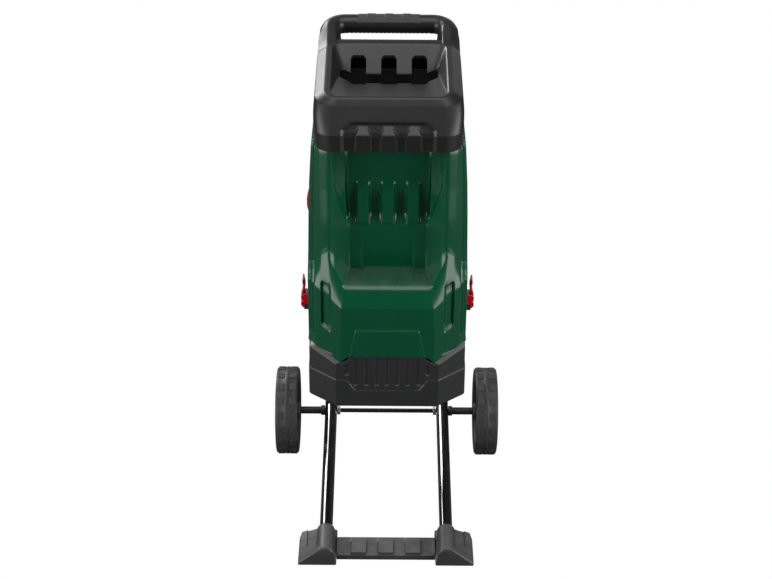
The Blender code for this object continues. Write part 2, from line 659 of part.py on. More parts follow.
def make_rotor(steel, blade_steel, copper, plastic):
    centre = (0, ROTOR_Y)
    origin = (0, ROTOR_Y, DISC_Z)
    top = motor_top()
    disc_top = DISC_Z + DISC_THICKNESS
    fan_z = MOTOR_BOTTOM_Z + END_CAP + 3
    bolt_bore = 3.0
    shaft_low, shaft_high = MOTOR_BOTTOM_Z - 1.0, disc_top - 0.5
    shaft = stepped_rod("motor_shaft", (0, ROTOR_Y, shaft_low), (0, 0, 1),
                        [(0, SHAFT_RADIUS), (top + 3 - shaft_low, SHAFT_RADIUS), (top + 3 - shaft_low, 11.0),
                         (DISC_Z - GAP - shaft_low, 11.0), (DISC_Z - GAP - shaft_low, SHAFT_RADIUS),
                         (shaft_high - shaft_low, SHAFT_RADIUS)], steel, 20, origin)
    cut(shaft, rod("shaft_thread_bore", (0, ROTOR_Y, disc_top - 22), (0, ROTOR_Y, disc_top + 5), bolt_bore + GAP))
    smooth(shaft)
    low = MOTOR_BOTTOM_Z + END_CAP + 12
    high = top - END_CAP - 2 - COMMUTATOR_HEIGHT
    bore = SHAFT_RADIUS + GAP
    smooth(turned("armature", [(bore, low), (ARMATURE_RADIUS, low), (ARMATURE_RADIUS, high - 4),
                               (COMMUTATOR_RADIUS, high - 4), (COMMUTATOR_RADIUS, high + COMMUTATOR_HEIGHT),
                               (bore, high + COMMUTATOR_HEIGHT)], centre, "z", 28, copper, origin))
    fan = turned("cooling_fan", [(bore, fan_z), (18, fan_z), (18, fan_z + FAN_HEIGHT), (bore, fan_z + FAN_HEIGHT)],
                 centre, "z", 20, plastic, origin)
    for index in range(8):
        angle = math.tau * index / 8
        out = Vector((math.cos(angle), math.sin(angle)))
        side = Vector((-out.y, out.x)) * 2.0
        middle = Vector((0, ROTOR_Y))
        outline = [middle + out * 14 - side, middle + out * FAN_RADIUS - side, middle + out * FAN_RADIUS + side,
                   middle + out * 14 + side]
        join(fan, prism(f"fan_blade_{index + 1}", [tuple(p) for p in outline], fan_z + 0.5,
                        fan_z + FAN_HEIGHT - 0.5, "z"))
    disc = turned("cutter_disc", [(bore, DISC_Z), (DISC_RADIUS, DISC_Z), (DISC_RADIUS, disc_top), (bore, disc_top)],
                  centre, "z", 36, steel, origin)
    for index, sign in enumerate((-1, 1)):
        make_blade(index + 1, sign, disc, blade_steel, steel, origin)
    smooth(disc)
    smooth(stepped_rod("disc_bolt", (0, ROTOR_Y, disc_top - 16), (0, 0, 1),
                       [(0, bolt_bore), (16 + GAP, bolt_bore), (16 + GAP, 12), (19.5, 12), (20.5, 10.5)], steel, 16,
                       origin))


def make_blade(number, sign, disc, blade_steel, steel, origin):
    """Reversible knife bolted flat on the disc, with a chip window cut in front of its edge."""
    seat = DISC_Z + DISC_THICKNESS + GAP
    near, far = sign * BLADE_INNER, sign * BLADE_OUTER
    edge, back = sign * 14.0, sign * (14.0 - BLADE_WIDTH)
    rings = []
    for z, edge_y in ((seat, edge - sign * 5), (seat + BLADE_THICKNESS, edge)):
        rings.append([(near, ROTOR_Y + back, z), (far, ROTOR_Y + back, z), (far - sign * 6, ROTOR_Y + edge_y, z),
                      (near, ROTOR_Y + edge_y, z)])
    blade = loft(f"blade_{number}", rings, blade_steel, origin=origin)
    window = sorted((ROTOR_Y + edge - sign * 4, ROTOR_Y + edge + sign * 11))
    cut(disc, box(f"chip_window_{number}", sorted((near + sign * 4, far - sign * 12)), window,
                  (DISC_Z - 5, seat + 5)))
    for index, x in enumerate((sign * 34.0, sign * 62.0)):
        y = ROTOR_Y - sign * 4
        name = f"blade_screw_{2 * number - 1 + index}"
        for target, label in ((disc, "disc"), (blade, "blade")):
            cut(target, rod(f"{label}_{name}_hole", (x, y, DISC_Z - 5), (x, y, seat + 10), 3.0 + GAP))
        head = DISC_THICKNESS + GAP + BLADE_THICKNESS + GAP
        smooth(stepped_rod(name, (x, y, DISC_Z + 0.5), (0, 0, 1),
                           [(0, 3.0), (head - 0.5, 3.0), (head - 0.5, 5.0), (head + 0.5, 4.6)], steel, 12, origin))


# ---- upper housing ----------------------------------------------------------------------------
UPPER_ORIGIN = (0, HINGE_Y, HINGE_Z)


def housing_levels():
    """(height, plan) of the green housing from the parting plane to its top."""
    return [
        (PARTING_Z + GAP, body_outline(80, BODY_FRONT_Y, BODY_HALF, -82)),
        (445.0, body_outline(72, BODY_FRONT_Y + 0.5, BODY_HALF - 0.5, -81)),
        (468.0, body_outline(70, BODY_FRONT_Y + 6, BODY_HALF - 1, -79)),
        (BULGE_TOP_Z, body_outline(66, BODY_FRONT_Y + 19, BODY_HALF - 1.5, -74)),
        (512.0, body_outline(104, -74, BODY_HALF - 3, -62)),
        (SHOULDER_Z, body_outline(98, -66, BODY_HALF - 8, -52)),
        (BODY_TOP_Z, body_outline(90, -56, BODY_HALF - 18, -42, BODY_REAR_Y - 10)),
    ]


def channel_outline(grow):
    """Plan of the front channel, wider towards the front."""
    front = BODY_FRONT_Y - 20
    return [(-CHANNEL_BACK_HALF - grow * 0.5, CHANNEL_BACK_Y + grow),
            (-CHANNEL_MOUTH_HALF - grow, CHANNEL_MOUTH_Y + grow * 0.5),
            (-CHANNEL_MOUTH_HALF - grow, front), (CHANNEL_MOUTH_HALF + grow, front),
            (CHANNEL_MOUTH_HALF + grow, CHANNEL_MOUTH_Y + grow * 0.5),
            (CHANNEL_BACK_HALF + grow * 0.5, CHANNEL_BACK_Y + grow)]


def make_upper_shell(green):
    levels = housing_levels()
    shell = loft("upper_shell", [at_level(outline, z) for z, outline in levels], green, origin=UPPER_ORIGIN)
    inner_levels = [(PARTING_Z - 5, levels[0][1])] + levels[1:]
    hollow = loft("shell_hollow", [at_level(inset(outline, SHELL_WALL), z - (SHELL_WALL if z == BODY_TOP_Z else 0))
                                   for z, outline in inner_levels])
    guard = prism("channel_guard", channel_outline(SHELL_WALL), BULGE_TOP_Z - SHELL_WALL, BODY_TOP_Z + 20, "z")
    cut(hollow, guard)
    channel = prism("channel", channel_outline(0), BULGE_TOP_Z + 0.5, BODY_TOP_Z + 20, "z")
    cut(shell, hollow)
    cut(shell, channel)
    way = CHUTE_WALL + 2
    cut(shell, box("shell_top_way", (-CHUTE_TOP_HALF - way, CHUTE_TOP_HALF + way),
                   (CHUTE_TOP_FRONT_Y - way, CHUTE_TOP_REAR_Y + way), (BODY_TOP_Z - 12, BODY_TOP_Z + 5)))
    cut(shell, box("rear_service_way", (-COVER_HALF + 8, COVER_HALF - 8), (BODY_REAR_Y - 20, BODY_REAR_Y + 5),
                   (COVER_BOTTOM_Z + 8, COVER_TOP_Z - 8)))
    cut(shell, box("switch_way", (-BODY_HALF - 10, -BODY_HALF + 20),
                   (SWITCH_Y - SWITCH_WIDTH / 2 - GAP, SWITCH_Y + SWITCH_WIDTH / 2 + GAP),
                   (SWITCH_Z - SWITCH_HEIGHT / 2 - 4 - GAP, SWITCH_Z + SWITCH_HEIGHT / 2 + 4 + GAP)))
    cut(shell, rod("reset_way", (-BODY_HALF - 10, RESET_Y, SWITCH_Z), (-BODY_HALF + 20, RESET_Y, SWITCH_Z),
                   RESET_RADIUS + GAP, steps=20))
    for index, (x, z) in enumerate(cover_screw_spots()):
        cut(shell, rod(f"cover_screw_way_{index + 1}", (x, BODY_REAR_Y - 10, z), (x, BODY_REAR_Y + 5, z),
                       COVER_SCREW_RADIUS + GAP))
    middle = BASE_KNUCKLE_X - KNUCKLE_LENGTH / 2 - 0.6
    for sign in (-1, 1):
        add_knuckle(shell, f"shell_knuckle_{sign + 2}", sign * (middle - KNUCKLE_LENGTH), sign * middle, 1)
    return shell


COVER_SCREW_RADIUS = 2.0


def cover_screw_spots():
    return [(sign * (COVER_HALF - 4.5), (COVER_BOTTOM_Z + COVER_TOP_Z) / 2) for sign in (-1, 1)]


def make_rear_cover(plastic, steel):
    """Service cover screwed on the rear wall; it carries the mains inlet."""
    near = BODY_REAR_Y + GAP
    outline = inset([(-COVER_HALF, COVER_BOTTOM_Z), (COVER_HALF, COVER_BOTTOM_Z), (COVER_HALF, COVER_TOP_Z),
                     (-COVER_HALF, COVER_TOP_Z)], 0.0)
    cover = prism("rear_cover", outline, near, near + COVER_THICKNESS, "y", plastic, UPPER_ORIGIN)
    cut(cover, box("inlet_way", (-17.5 - GAP, 17.5 + GAP), (near - 5, near + 10),
                   (INLET_Z - 14 - GAP, INLET_Z + 14 + GAP)))
    for index, (x, z) in enumerate(cover_screw_spots()):
        cut(cover, rod(f"cover_screw_hole_{index + 1}", (x, near - 5, z), (x, near + 10, z),
                       COVER_SCREW_RADIUS + GAP))
        outer = COVER_THICKNESS + GAP
        smooth(stepped_rod(f"cover_screw_{index + 1}", (x, near - 5, z), (0, 1, 0),
                           [(0, COVER_SCREW_RADIUS), (5 + outer, COVER_SCREW_RADIUS), (5 + outer, 4.0),
                            (6.5 + outer, 4.0), (7.2 + outer, 3.2)], steel, 12, UPPER_ORIGIN))
    return cover


def make_inlet(plastic):
    """Recessed appliance inlet with its flange behind the rear cover."""
    near = BODY_REAR_Y + GAP
    body = box("mains_inlet", (-17.5, 17.5), (near - 26, near + COVER_THICKNESS + 1), (INLET_Z - 14, INLET_Z + 14),
               plastic, UPPER_ORIGIN)
    flange = box("inlet_flange", (-24, 24), (near - 4, near - GAP), (INLET_Z - 20, INLET_Z + 20))
    join(body, flange)
    cut(body, box("inlet_recess", (-14, 14), (near - 18, near + 10), (INLET_Z - 10.5, INLET_Z + 10.5)))
    for index in (-1, 0, 1):
        join(body, box(f"inlet_blade_{index + 2}", (index * 8 - 1, index * 8 + 1), (near - 20, near - 3),
                       (INLET_Z - 4, INLET_Z + 4)))
    return body


def rim_height(y):
    return RIM_FRONT_Z + (y - RIM_FRONT_Y) * (RIM_REAR_Z - RIM_FRONT_Z) / (RIM_REAR_Y - RIM_FRONT_Y)


def hopper_ring(half, front, rear, corner, height):
    """Rounded rectangle whose height follows a rule of y."""
    outline = []
    for sx, sy, start in ((1, -1, -90), (1, 1, 0), (-1, 1, 90), (-1, -1, 180)):
        middle_y = front + corner if sy < 0 else rear - corner
        for step in range(4):
            angle = math.radians(start + 30 * step)
            outline.append((sx * (half - corner) + corner * math.cos(angle), middle_y + corner * math.sin(angle)))
    return [(x, y, height(y)) for x, y in outline]


def make_hopper(plastic):
    """Hopper with a skirt, a shallow feed dish and the rear handle in one moulding."""
    def level(z):
        return lambda y: z

    rear = BODY_REAR_Y
    outer = [
        hopper_ring(HOPPER_HALF - 3, HOPPER_FRONT_Y, rear - 2, 22, level(HOPPER_BOTTOM_Z)),
        hopper_ring(HOPPER_HALF - 1, HOPPER_FRONT_Y, rear - 1, 22, level(SKIRT_TOP_Z)),
        hopper_ring(HOPPER_HALF, HOPPER_FRONT_Y + 17, rear, 24, lambda y: rim_height(y) - 24),
        hopper_ring(RIM_HALF + 4, RIM_FRONT_Y - 4, RIM_REAR_Y, 20, lambda y: rim_height(y) - 4),
        hopper_ring(RIM_HALF, RIM_FRONT_Y, RIM_REAR_Y - 3, 18, rim_height),
        hopper_ring(RIM_HALF - RIM_WIDTH, RIM_FRONT_Y + 8, RIM_REAR_Y - 16, 14, rim_height),
        hopper_ring(SLOT_HALF, SLOT_FRONT_Y, SLOT_REAR_Y, 8, level(SLOT_Z)),
    ]
    wall = HOPPER_WALL
    inner = [
        hopper_ring(SLOT_HALF, SLOT_FRONT_Y, SLOT_REAR_Y, 8, level(SLOT_Z - wall)),
        hopper_ring(RIM_HALF - RIM_WIDTH + 1, RIM_FRONT_Y + 7, RIM_REAR_Y - 15, 14, lambda y: rim_height(y) - wall - 1),
        hopper_ring(RIM_HALF - wall, RIM_FRONT_Y - 1, RIM_REAR_Y - 7, 17, lambda y: rim_height(y) - wall - 4),
        hopper_ring(HOPPER_HALF - wall, HOPPER_FRONT_Y + 17 + wall, rear - wall, 21, lambda y: rim_height(y) - 26),
        hopper_ring(HOPPER_HALF - 1 - wall, HOPPER_FRONT_Y + wall, rear - 1 - wall, 19, level(SKIRT_TOP_Z)),
        hopper_ring(HOPPER_HALF - 3 - wall, HOPPER_FRONT_Y + wall, rear - 2 - wall, 19, level(HOPPER_BOTTOM_Z)),
    ]
    hopper = loft("hopper", outer + inner, plastic, looped=True, origin=UPPER_ORIGIN)
    for index in (-1, 0, 1):
        middle = index * CROSS_SLOT_X
        half = CROSS_SLOT_WIDTH / 2
        cut(hopper, box(f"cross_slot_{index + 2}", (middle - half, middle + half),
                        (CROSS_SLOT_FRONT_Y, CROSS_SLOT_REAR_Y), (CHUTE_TOP_Z - 4, SLOT_Z + 40)))
    join(hopper, make_handle_guide())
    return smooth(hopper, 30)


def handle_path():
    """Half of the handle's centre line: arm, bend, bar; x runs from the arm to the middle."""
    start_y = BODY_REAR_Y - 14
    start_z = rim_height(start_y) - 13
    tilt = (HANDLE_Z - start_z) / (HANDLE_Y - start_y)
    path = [(HANDLE_ARM_X, start_y)]
    for step in range(6):
        angle = math.radians(90 * step / 5)
        path.append((HANDLE_ARM_X - HANDLE_BEND + HANDLE_BEND * math.cos(angle),
                     HANDLE_Y - HANDLE_BEND + HANDLE_BEND * math.sin(angle)))
    return [Vector((x, y, start_z + (y - start_y) * tilt)) for x, y in path]


def make_handle_guide():
    half = handle_path()
    path = half + [Vector((-p.x, p.y, p.z)) for p in reversed(half)]
    rise = path[1] - path[0]
    normal = Vector((1, 0, 0)).cross(rise).normalized()
    rings = []
    for index, point in enumerate(path):
        before = path[max(index - 1, 0)]
        after = path[min(index + 1, len(path) - 1)]
        heading = (after - before).normalized()
        across = heading.cross(normal)
        stretch = 1.0 if index in (0, len(path) - 1) else 1.0 / math.cos(heading.angle(after - point) if after != point else 0)
        rings.append([point + across * (a * stretch) + normal * b for a, b in circle(HANDLE_RADIUS, 12, math.pi / 12)])
    return loft("handle", rings)


def make_handle_grip(rubber):
    """Soft saddle on the top of the handle bar."""
    inner, outer = HANDLE_RADIUS + GAP, HANDLE_RADIUS + GRIP_THICKNESS
    half = GRIP_LENGTH / 2
    steps = 10
    start, end = math.radians(12), math.radians(158)
    arc = [start + (end - start) * step / steps for step in range(steps + 1)]
    outline = [(HANDLE_Y + outer * math.cos(a), HANDLE_Z + outer * math.sin(a)) for a in arc]
    outline += [(HANDLE_Y + inner * math.cos(a), HANDLE_Z + inner * math.sin(a)) for a in reversed(arc)]
    return smooth(prism("handle_grip", outline, -half, half, "x", rubber, UPPER_ORIGIN))


def chute_ring(half, front, rear, z):
    return [(-half, front, z), (half, front, z), (half, rear, z), (-half, rear, z)]


def make_feed_chute(plastic):
    """Tapered duct from the feed dish to the knife disc."""
    wall = CHUTE_WALL
    top, low = CHUTE_TOP_Z, CHUTE_BOTTOM_Z
    seat = BODY_TOP_Z + GAP
    brim = wall + CHUTE_FLANGE
    neck = seat - 4

    def outside(grow, z):
        return chute_ring(CHUTE_TOP_HALF + grow, CHUTE_TOP_FRONT_Y - grow, CHUTE_TOP_REAR_Y + grow, z)

    rings = [
        outside(0, top), outside(wall, top), outside(wall, seat + CHUTE_FLANGE_THICKNESS),
        outside(brim, seat + CHUTE_FLANGE_THICKNESS), outside(brim, seat), outside(wall, seat), outside(wall, neck),
        chute_ring(CHUTE_BOTTOM_HALF + wall, CHUTE_BOTTOM_FRONT_Y - wall, CHUTE_BOTTOM_REAR_Y + wall, low),
        chute_ring(CHUTE_BOTTOM_HALF, CHUTE_BOTTOM_FRONT_Y, CHUTE_BOTTOM_REAR_Y, low),
        chute_ring(CHUTE_TOP_HALF, CHUTE_TOP_FRONT_Y, CHUTE_TOP_REAR_Y, neck),
    ]
    return loft("feed_chute", rings, plastic, looped=True, origin=UPPER_ORIGIN)


def make_counter_blade(steel):
    """Fixed edge under the side wall of the feed chute."""
    outer = -CHUTE_BOTTOM_HALF - CHUTE_WALL
    return box("counter_blade", (outer, outer + 9), (CHUTE_BOTTOM_FRONT_Y - 2, CHUTE_BOTTOM_REAR_Y + 2),
               (CHUTE_BOTTOM_Z - GAP - 4, CHUTE_BOTTOM_Z - GAP), steel, UPPER_ORIGIN)


def make_feed_flap(rubber):
    """Rubber curtain against the chute's front wall, slit into strips."""
    near = CHUTE_TOP_FRONT_Y + GAP
    top = CHUTE_TOP_Z - GAP
    half = CHUTE_TOP_HALF - 2
    flap = box("feed_flap", (-half, half), (near, near + FLAP_THICKNESS), (top - FLAP_LENGTH, top), rubber,
               UPPER_ORIGIN)
    for index in range(7):
        x = (index - 3) * 20.0
        cut(flap, box(f"flap_slit_{index + 1}", (x - 0.6, x + 0.6), (near - 3, near + 6),
                      (top - FLAP_LENGTH - 2, top - 10)))
    return flap


# ---- switch, reset button, latches ------------------------------------------------------------
def flank_x():
    """Half width of the green housing at the switch."""
    low, high = 512.0, SHOULDER_Z
    share = (SWITCH_Z - low) / (high - low)
    return (BODY_HALF - 3) + share * ((BODY_HALF - 8) - (BODY_HALF - 3))


def make_switch(plastic, red):
    face = -flank_x()
    half_w, half_h = SWITCH_WIDTH / 2, SWITCH_HEIGHT / 2 + 4
    frame = box("switch_box", (face - 2.5, face + 26), (SWITCH_Y - half_w, SWITCH_Y + half_w),
                (SWITCH_Z - half_h, SWITCH_Z + half_h), plastic, UPPER_ORIGIN)
    cut(frame, box("switch_pocket", (face - 8, face + 12), (SWITCH_Y - half_w + 2, SWITCH_Y + half_w - 2),
                   (SWITCH_Z - half_h + 2, SWITCH_Z + half_h - 2)))
    pivot = (face + 3.0, SWITCH_Y, SWITCH_Z)
    high = SWITCH_HEIGHT / 2
    outline = [(0, -6), (5, -5), (5, 5), (0, 6), (-5, high - 2), (-9.5, high), (-10, high - 5), (-6.5, 3), (-6.5, -3),
               (-10, -high + 5), (-9.5, -high), (-5, -high + 2)]
    tilt = Matrix.Rotation(math.radians(SWITCH_TILT), 2)
    spots = [tilt @ Vector(point) for point in outline]
    spots = [(pivot[0] + p.x, pivot[2] + p.y) for p in spots]
    rocker = prism("switch_rocker", spots, SWITCH_Y - half_w + 2 + GAP, SWITCH_Y + half_w - 2 - GAP, "y", red, pivot)
    return frame, rocker


def make_reset_button(plastic):
    face = -flank_x()
    stem = stepped_rod("reset_button", (face - 4, RESET_Y, SWITCH_Z), (1, 0, 0),
                       [(0, RESET_RADIUS - 1.5), (1, RESET_RADIUS - 0.5), (16, RESET_RADIUS - 0.5)], plastic, 16,
                       (face - 4, RESET_Y, SWITCH_Z))
    return smooth(stem)


def make_latch(side, sign, red, steel):
    """Cam lever on a pinned bracket; its nose presses the housing's flank."""
    flank = BODY_HALF
    pivot_x, pivot_z = flank + LATCH_PIVOT_OUT, LATCH_PIVOT_Z
    origin = (sign * pivot_x, LATCH_Y, pivot_z)
    outline = [(-2, -5), (2, -5), (5, -2.5), (7, 0), (7, 18), (5, 23), (3, 33), (2, 43), (1, 52), (-1.2, 52),
               (-0.6, 43), (0, 33), (0.8, 25), (-4.5, 24), (-8.0, 22.5), (-8.0, 16.5), (-5.3, 15), (-5.3, 2),
               (-4, -3.5)]
    spots = [(sign * (pivot_x + x), pivot_z + z) for x, z in outline]
    half = LATCH_WIDTH / 2
    latch = prism(side + "_latch", spots, LATCH_Y - half, LATCH_Y + half, "y", red, origin)
    cut(latch, rod(side + "_latch_bore", (origin[0], LATCH_Y - half - 2, pivot_z),
                   (origin[0], LATCH_Y + half + 2, pivot_z), LATCH_PIN_RADIUS + GAP))
    near = flank + GAP
    plate = box(side + "_latch_bracket", sorted((sign * near, sign * (near + 1.8))),
                (LATCH_Y - half - 3, LATCH_Y + half + 3), (332, 358), steel)
    for end in (-1, 1):
        y = LATCH_Y + end * (half + 1.5)
        ear = box(f"{side}_bracket_ear_{end + 2}", sorted((sign * near, sign * (pivot_x + 4))),
                  (y - 1, y + 1), (pivot_z - 5, pivot_z + 5))
        join(plate, ear)
    join(plate, rod(side + "_bracket_pin", (origin[0], LATCH_Y - half - 2.0, pivot_z),
                    (origin[0], LATCH_Y + half + 2.0, pivot_z), LATCH_PIN_RADIUS))
    return latch


# ---- the whole machine ------------------------------------------------------------------------
def clear_scene():
    for item in list(bpy.data.objects):
        bpy.data.objects.remove(item, do_unlink=True)


def build():
    clear_scene()
    charcoal = finish("charcoal_plastic", (0.045, 0.047, 0.05), 0.55)
    green = finish("green_plastic", (0.0, 0.075, 0.03), 0.35)
    red = finish("red_plastic", (0.52, 0.01, 0.02), 0.35)
    gloss_black = finish("gloss_black_tube", (0.008, 0.008, 0.009), 0.12, 0.3)
    zinc = finish("zinc_plated_steel", (0.55, 0.56, 0.57), 0.35, 1.0)
    ground_steel = finish("ground_steel", (0.65, 0.66, 0.68), 0.22, 1.0)
    cast = finish("cast_alloy", (0.4, 0.41, 0.42), 0.5, 1.0)
    copper = finish("wound_copper", (0.6, 0.28, 0.14), 0.4, 1.0)
    tread = finish("tread_plastic", (0.05, 0.052, 0.055), 0.7)
    soft = finish("soft_rubber", (0.03, 0.03, 0.032), 0.8)
    for side, sign in (("left", -1), ("right", 1)):
        make_leg(side, sign, gloss_black)
        make_leg_bolt(side, sign, zinc)
        make_axle_sleeve(side, sign, charcoal)
        make_axle_nut(side, sign, zinc)
        make_foot_block(side, sign, charcoal)
        make_foot_screw(side, sign, zinc)
        make_wheel(side, sign, charcoal, tread)
        make_latch(side, sign, red, charcoal)
    make_axle(zinc)
    make_foot_bar(charcoal)
    make_base_shell(charcoal)
    make_hinge_pin(zinc)
    make_cutter_deck(cast)
    make_discharge_chute(charcoal)
    make_motor(cast, copper, charcoal)
    make_motor_screws(zinc)
    make_rotor(cast, ground_steel, copper, charcoal)
    make_upper_shell(green)
    make_hopper(charcoal)
    make_handle_grip(soft)
    make_feed_chute(charcoal)
    make_counter_blade(ground_steel)
    make_feed_flap(soft)
    make_rear_cover(charcoal, zinc)
    make_inlet(charcoal)
    make_switch(charcoal, red)
    make_reset_button(charcoal)


build()
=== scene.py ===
"""Looks of an upright electric garden chipper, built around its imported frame."""
import json
import math

import bmesh
import bpy
import numpy as np
from mathutils import Matrix, Vector


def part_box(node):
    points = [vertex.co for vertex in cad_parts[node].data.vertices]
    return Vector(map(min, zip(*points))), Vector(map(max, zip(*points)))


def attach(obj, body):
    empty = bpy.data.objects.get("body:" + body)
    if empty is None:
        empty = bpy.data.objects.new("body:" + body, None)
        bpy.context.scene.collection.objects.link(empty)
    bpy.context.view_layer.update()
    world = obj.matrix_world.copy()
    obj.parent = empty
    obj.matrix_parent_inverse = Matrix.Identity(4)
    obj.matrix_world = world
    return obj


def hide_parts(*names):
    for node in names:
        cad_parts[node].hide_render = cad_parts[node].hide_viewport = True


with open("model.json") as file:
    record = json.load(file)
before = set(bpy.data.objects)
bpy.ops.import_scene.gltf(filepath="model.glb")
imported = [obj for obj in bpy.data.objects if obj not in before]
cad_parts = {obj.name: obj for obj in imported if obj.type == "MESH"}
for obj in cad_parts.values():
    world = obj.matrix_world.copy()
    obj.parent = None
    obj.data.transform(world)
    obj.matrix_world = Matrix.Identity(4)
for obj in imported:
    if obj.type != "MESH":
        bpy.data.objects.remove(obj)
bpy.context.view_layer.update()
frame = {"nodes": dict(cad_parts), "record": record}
MM = 0.001

# ---- Camera, floor and light -------------------------------------------------------------------
# The machine stands on a pale studio floor.  The camera looks down on its front by 30 degrees from
# about three metres, a third of a degree off level, and softboxes above and beside it light the plastic.
AXLE = (Vector(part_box("axle_rod")[0]) + Vector(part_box("axle_rod")[1])) / 2
CAMERA_TILT = math.radians(30.0)
CAMERA_ROLL = math.radians(0.35)
CAMERA_DISTANCE = 3.034
CAMERA_SIDE, CAMERA_RISE = -0.0025, 0.2225
CAMERA_LENS, CAMERA_SENSOR = 76.9, 36.0
FLOOR_HALF, FLOOR_LEVEL = 8.0, -0.0002
view_ahead = Vector((0, math.cos(CAMERA_TILT), -math.sin(CAMERA_TILT)))
view_up = Vector((0, math.sin(CAMERA_TILT), math.cos(CAMERA_TILT)))
camera = bpy.data.objects.new("studio_camera", bpy.data.cameras.new("studio_camera"))
camera.data.lens = CAMERA_LENS
camera.data.sensor_width = CAMERA_SENSOR
camera.location = (Vector((CAMERA_SIDE, AXLE.y, AXLE.z)) - view_ahead * CAMERA_DISTANCE
                   + view_up * CAMERA_RISE)
camera.rotation_euler = (Matrix.Rotation(math.pi / 2 - CAMERA_TILT, 3, "X")
                         @ Matrix.Rotation(CAMERA_ROLL, 3, "Z")).to_euler()
bpy.context.scene.collection.objects.link(camera)
bpy.context.scene.camera = camera
bpy.context.scene.view_settings.view_transform = "Standard"


def add_softbox(name, place, aim, size, power):
    lamp = bpy.data.lights.new(name, "AREA")
    lamp.shape = "RECTANGLE"
    lamp.size, lamp.size_y = size
    lamp.energy = power
    holder = bpy.data.objects.new(name, lamp)
    holder.location = place
    holder.rotation_euler = (Vector(aim) - Vector(place)).to_track_quat("-Z", "Y").to_euler()
    bpy.context.scene.collection.objects.link(holder)


add_softbox("softbox_left", (-2.6, -1.35, 0.95), (0, 0, 0.5), (2.8, 2.5), 118)
add_softbox("softbox_right", (2.6, -1.25, 0.95), (0, 0, 0.5), (2.8, 2.5), 122)
add_softbox("softbox_top", (0.0, -0.5, 3.2), (0, 0, 0.6), (3.0, 2.2), 62)
add_softbox("softbox_rear", (-1.8, 2.3, 2.3), (0, 0, 0.4), (1.2, 1.4), 75)
add_softbox("softbox_wall", (0.3, 3.6, 1.9), (0, 0, 0.5), (4.0, 2.4), 22)


class Signal:
    """A shader socket that takes part in arithmetic."""

    def __init__(self, finish, socket):
        self.finish = finish
        self.socket = socket

    def joined(self, operation, first, second):
        node = self.finish.node("ShaderNodeMath", {"operation": operation}, [first, second])
        return Signal(self.finish, node.outputs[0])

    def __add__(self, other):
        return self.joined("ADD", self, other)

    def __mul__(self, other):
        return self.joined("MULTIPLY", self, other)

    def __rsub__(self, other):
        return self.joined("SUBTRACT", other, self)

    __radd__ = __add__
    __rmul__ = __mul__


class Finish:
    """One material, built node by node."""

    def __init__(self, name):
        self.material = bpy.data.materials.new(name)
        self.material.use_nodes = True
        self.tree = self.material.node_tree
        self.shader = self.tree.nodes["Principled BSDF"]

    def node(self, kind, settings, inputs):
        """Adds a node: settings first, then values or links by input position or name."""
        made = self.tree.nodes.new(kind)
        for key, value in settings.items():
            setattr(made, key, value)
        entries = inputs.items() if isinstance(inputs, dict) else enumerate(inputs)
        for key, value in entries:
            self.feed(made.inputs[key], value)
        return made

    def feed(self, socket, value):
        if isinstance(value, Signal):
            self.tree.links.new(value.socket, socket)
        elif isinstance(value, bpy.types.NodeSocket):
            self.tree.links.new(value, socket)
        else:
            socket.default_value = value

    def place(self):
        return self.node("ShaderNodeTexCoord", {}, []).outputs["Object"]

    def noise(self, scale, detail, stretch=None):
        where = self.place()
        if stretch:
            where = self.node("ShaderNodeMapping", {}, {"Vector": where, "Scale": stretch}).outputs[0]
        node = self.node("ShaderNodeTexNoise", {}, {"Vector": where, "Scale": scale, "Detail": detail})
        return Signal(self, node.outputs["Fac"])

    def blend(self, share, first, second):
        node = self.node("ShaderNodeMix", {"data_type": "RGBA"}, {0: share, 6: first, 7: second})
        return node.outputs[2]

    def ranged(self, signal, low, high):
        node = self.node("ShaderNodeMapRange", {}, [signal, low, high])
        return Signal(self, node.outputs[0])

    def facing_up(self):
        normal = self.node("ShaderNodeNewGeometry", {}, []).outputs["Normal"]
        return Signal(self, self.node("ShaderNodeSeparateXYZ", {}, [normal]).outputs[2])

    def bump(self, height, strength, distance):
        node = self.node("ShaderNodeBump", {}, {"Strength": strength, "Distance": distance, "Height": height})
        self.feed(self.shader.inputs["Normal"], node.outputs[0])

    def set(self, **values):
        for key, value in values.items():
            self.feed(self.shader.inputs[key.replace("_", " ")], value)


def rgb(colour, factor=1.0):
    return (*(channel * factor for channel in colour), 1.0)


floor_finish = Finish("studio_floor")
floor_light = floor_finish.node("ShaderNodeEmission", {}, {"Color": rgb((1, 1, 1)), "Strength": 1.0})
floor_rays = floor_finish.node("ShaderNodeLightPath", {}, [])
floor_seen = Signal(floor_finish, floor_rays.outputs["Is Camera Ray"])
floor_seen = floor_seen + Signal(floor_finish, floor_rays.outputs["Is Glossy Ray"]) * 0.03
floor_finish.set(Base_Color=rgb((0.03, 0.03, 0.03)), Roughness=0.9)
floor_white = floor_finish.node("ShaderNodeMixShader", {}, [floor_seen, floor_finish.shader.outputs[0],
                                                            floor_light.outputs[0]])
floor_finish.tree.links.new(floor_white.outputs[0],
                            floor_finish.tree.nodes["Material Output"].inputs["Surface"])
floor_mesh = bpy.data.meshes.new("studio_floor")
floor_corners = ((-1, -1), (1, -1), (1, 1), (-1, 1))
floor_mesh.from_pydata([(FLOOR_HALF * a, FLOOR_HALF * b, FLOOR_LEVEL) for a, b in floor_corners], [],
                       [(0, 1, 2, 3)])
floor_mesh.materials.append(floor_finish.material)
studio_floor = bpy.data.objects.new("studio_floor", floor_mesh)
bpy.context.scene.collection.objects.link(studio_floor)
world = bpy.data.worlds.new("studio_air")
bpy.context.scene.world = world
world.use_nodes = True
air = world.node_tree
air_rays = air.nodes.new("ShaderNodeLightPath")
air_level = air.nodes.new("ShaderNodeMapRange")
air_level.inputs["To Min"].default_value = 0.05
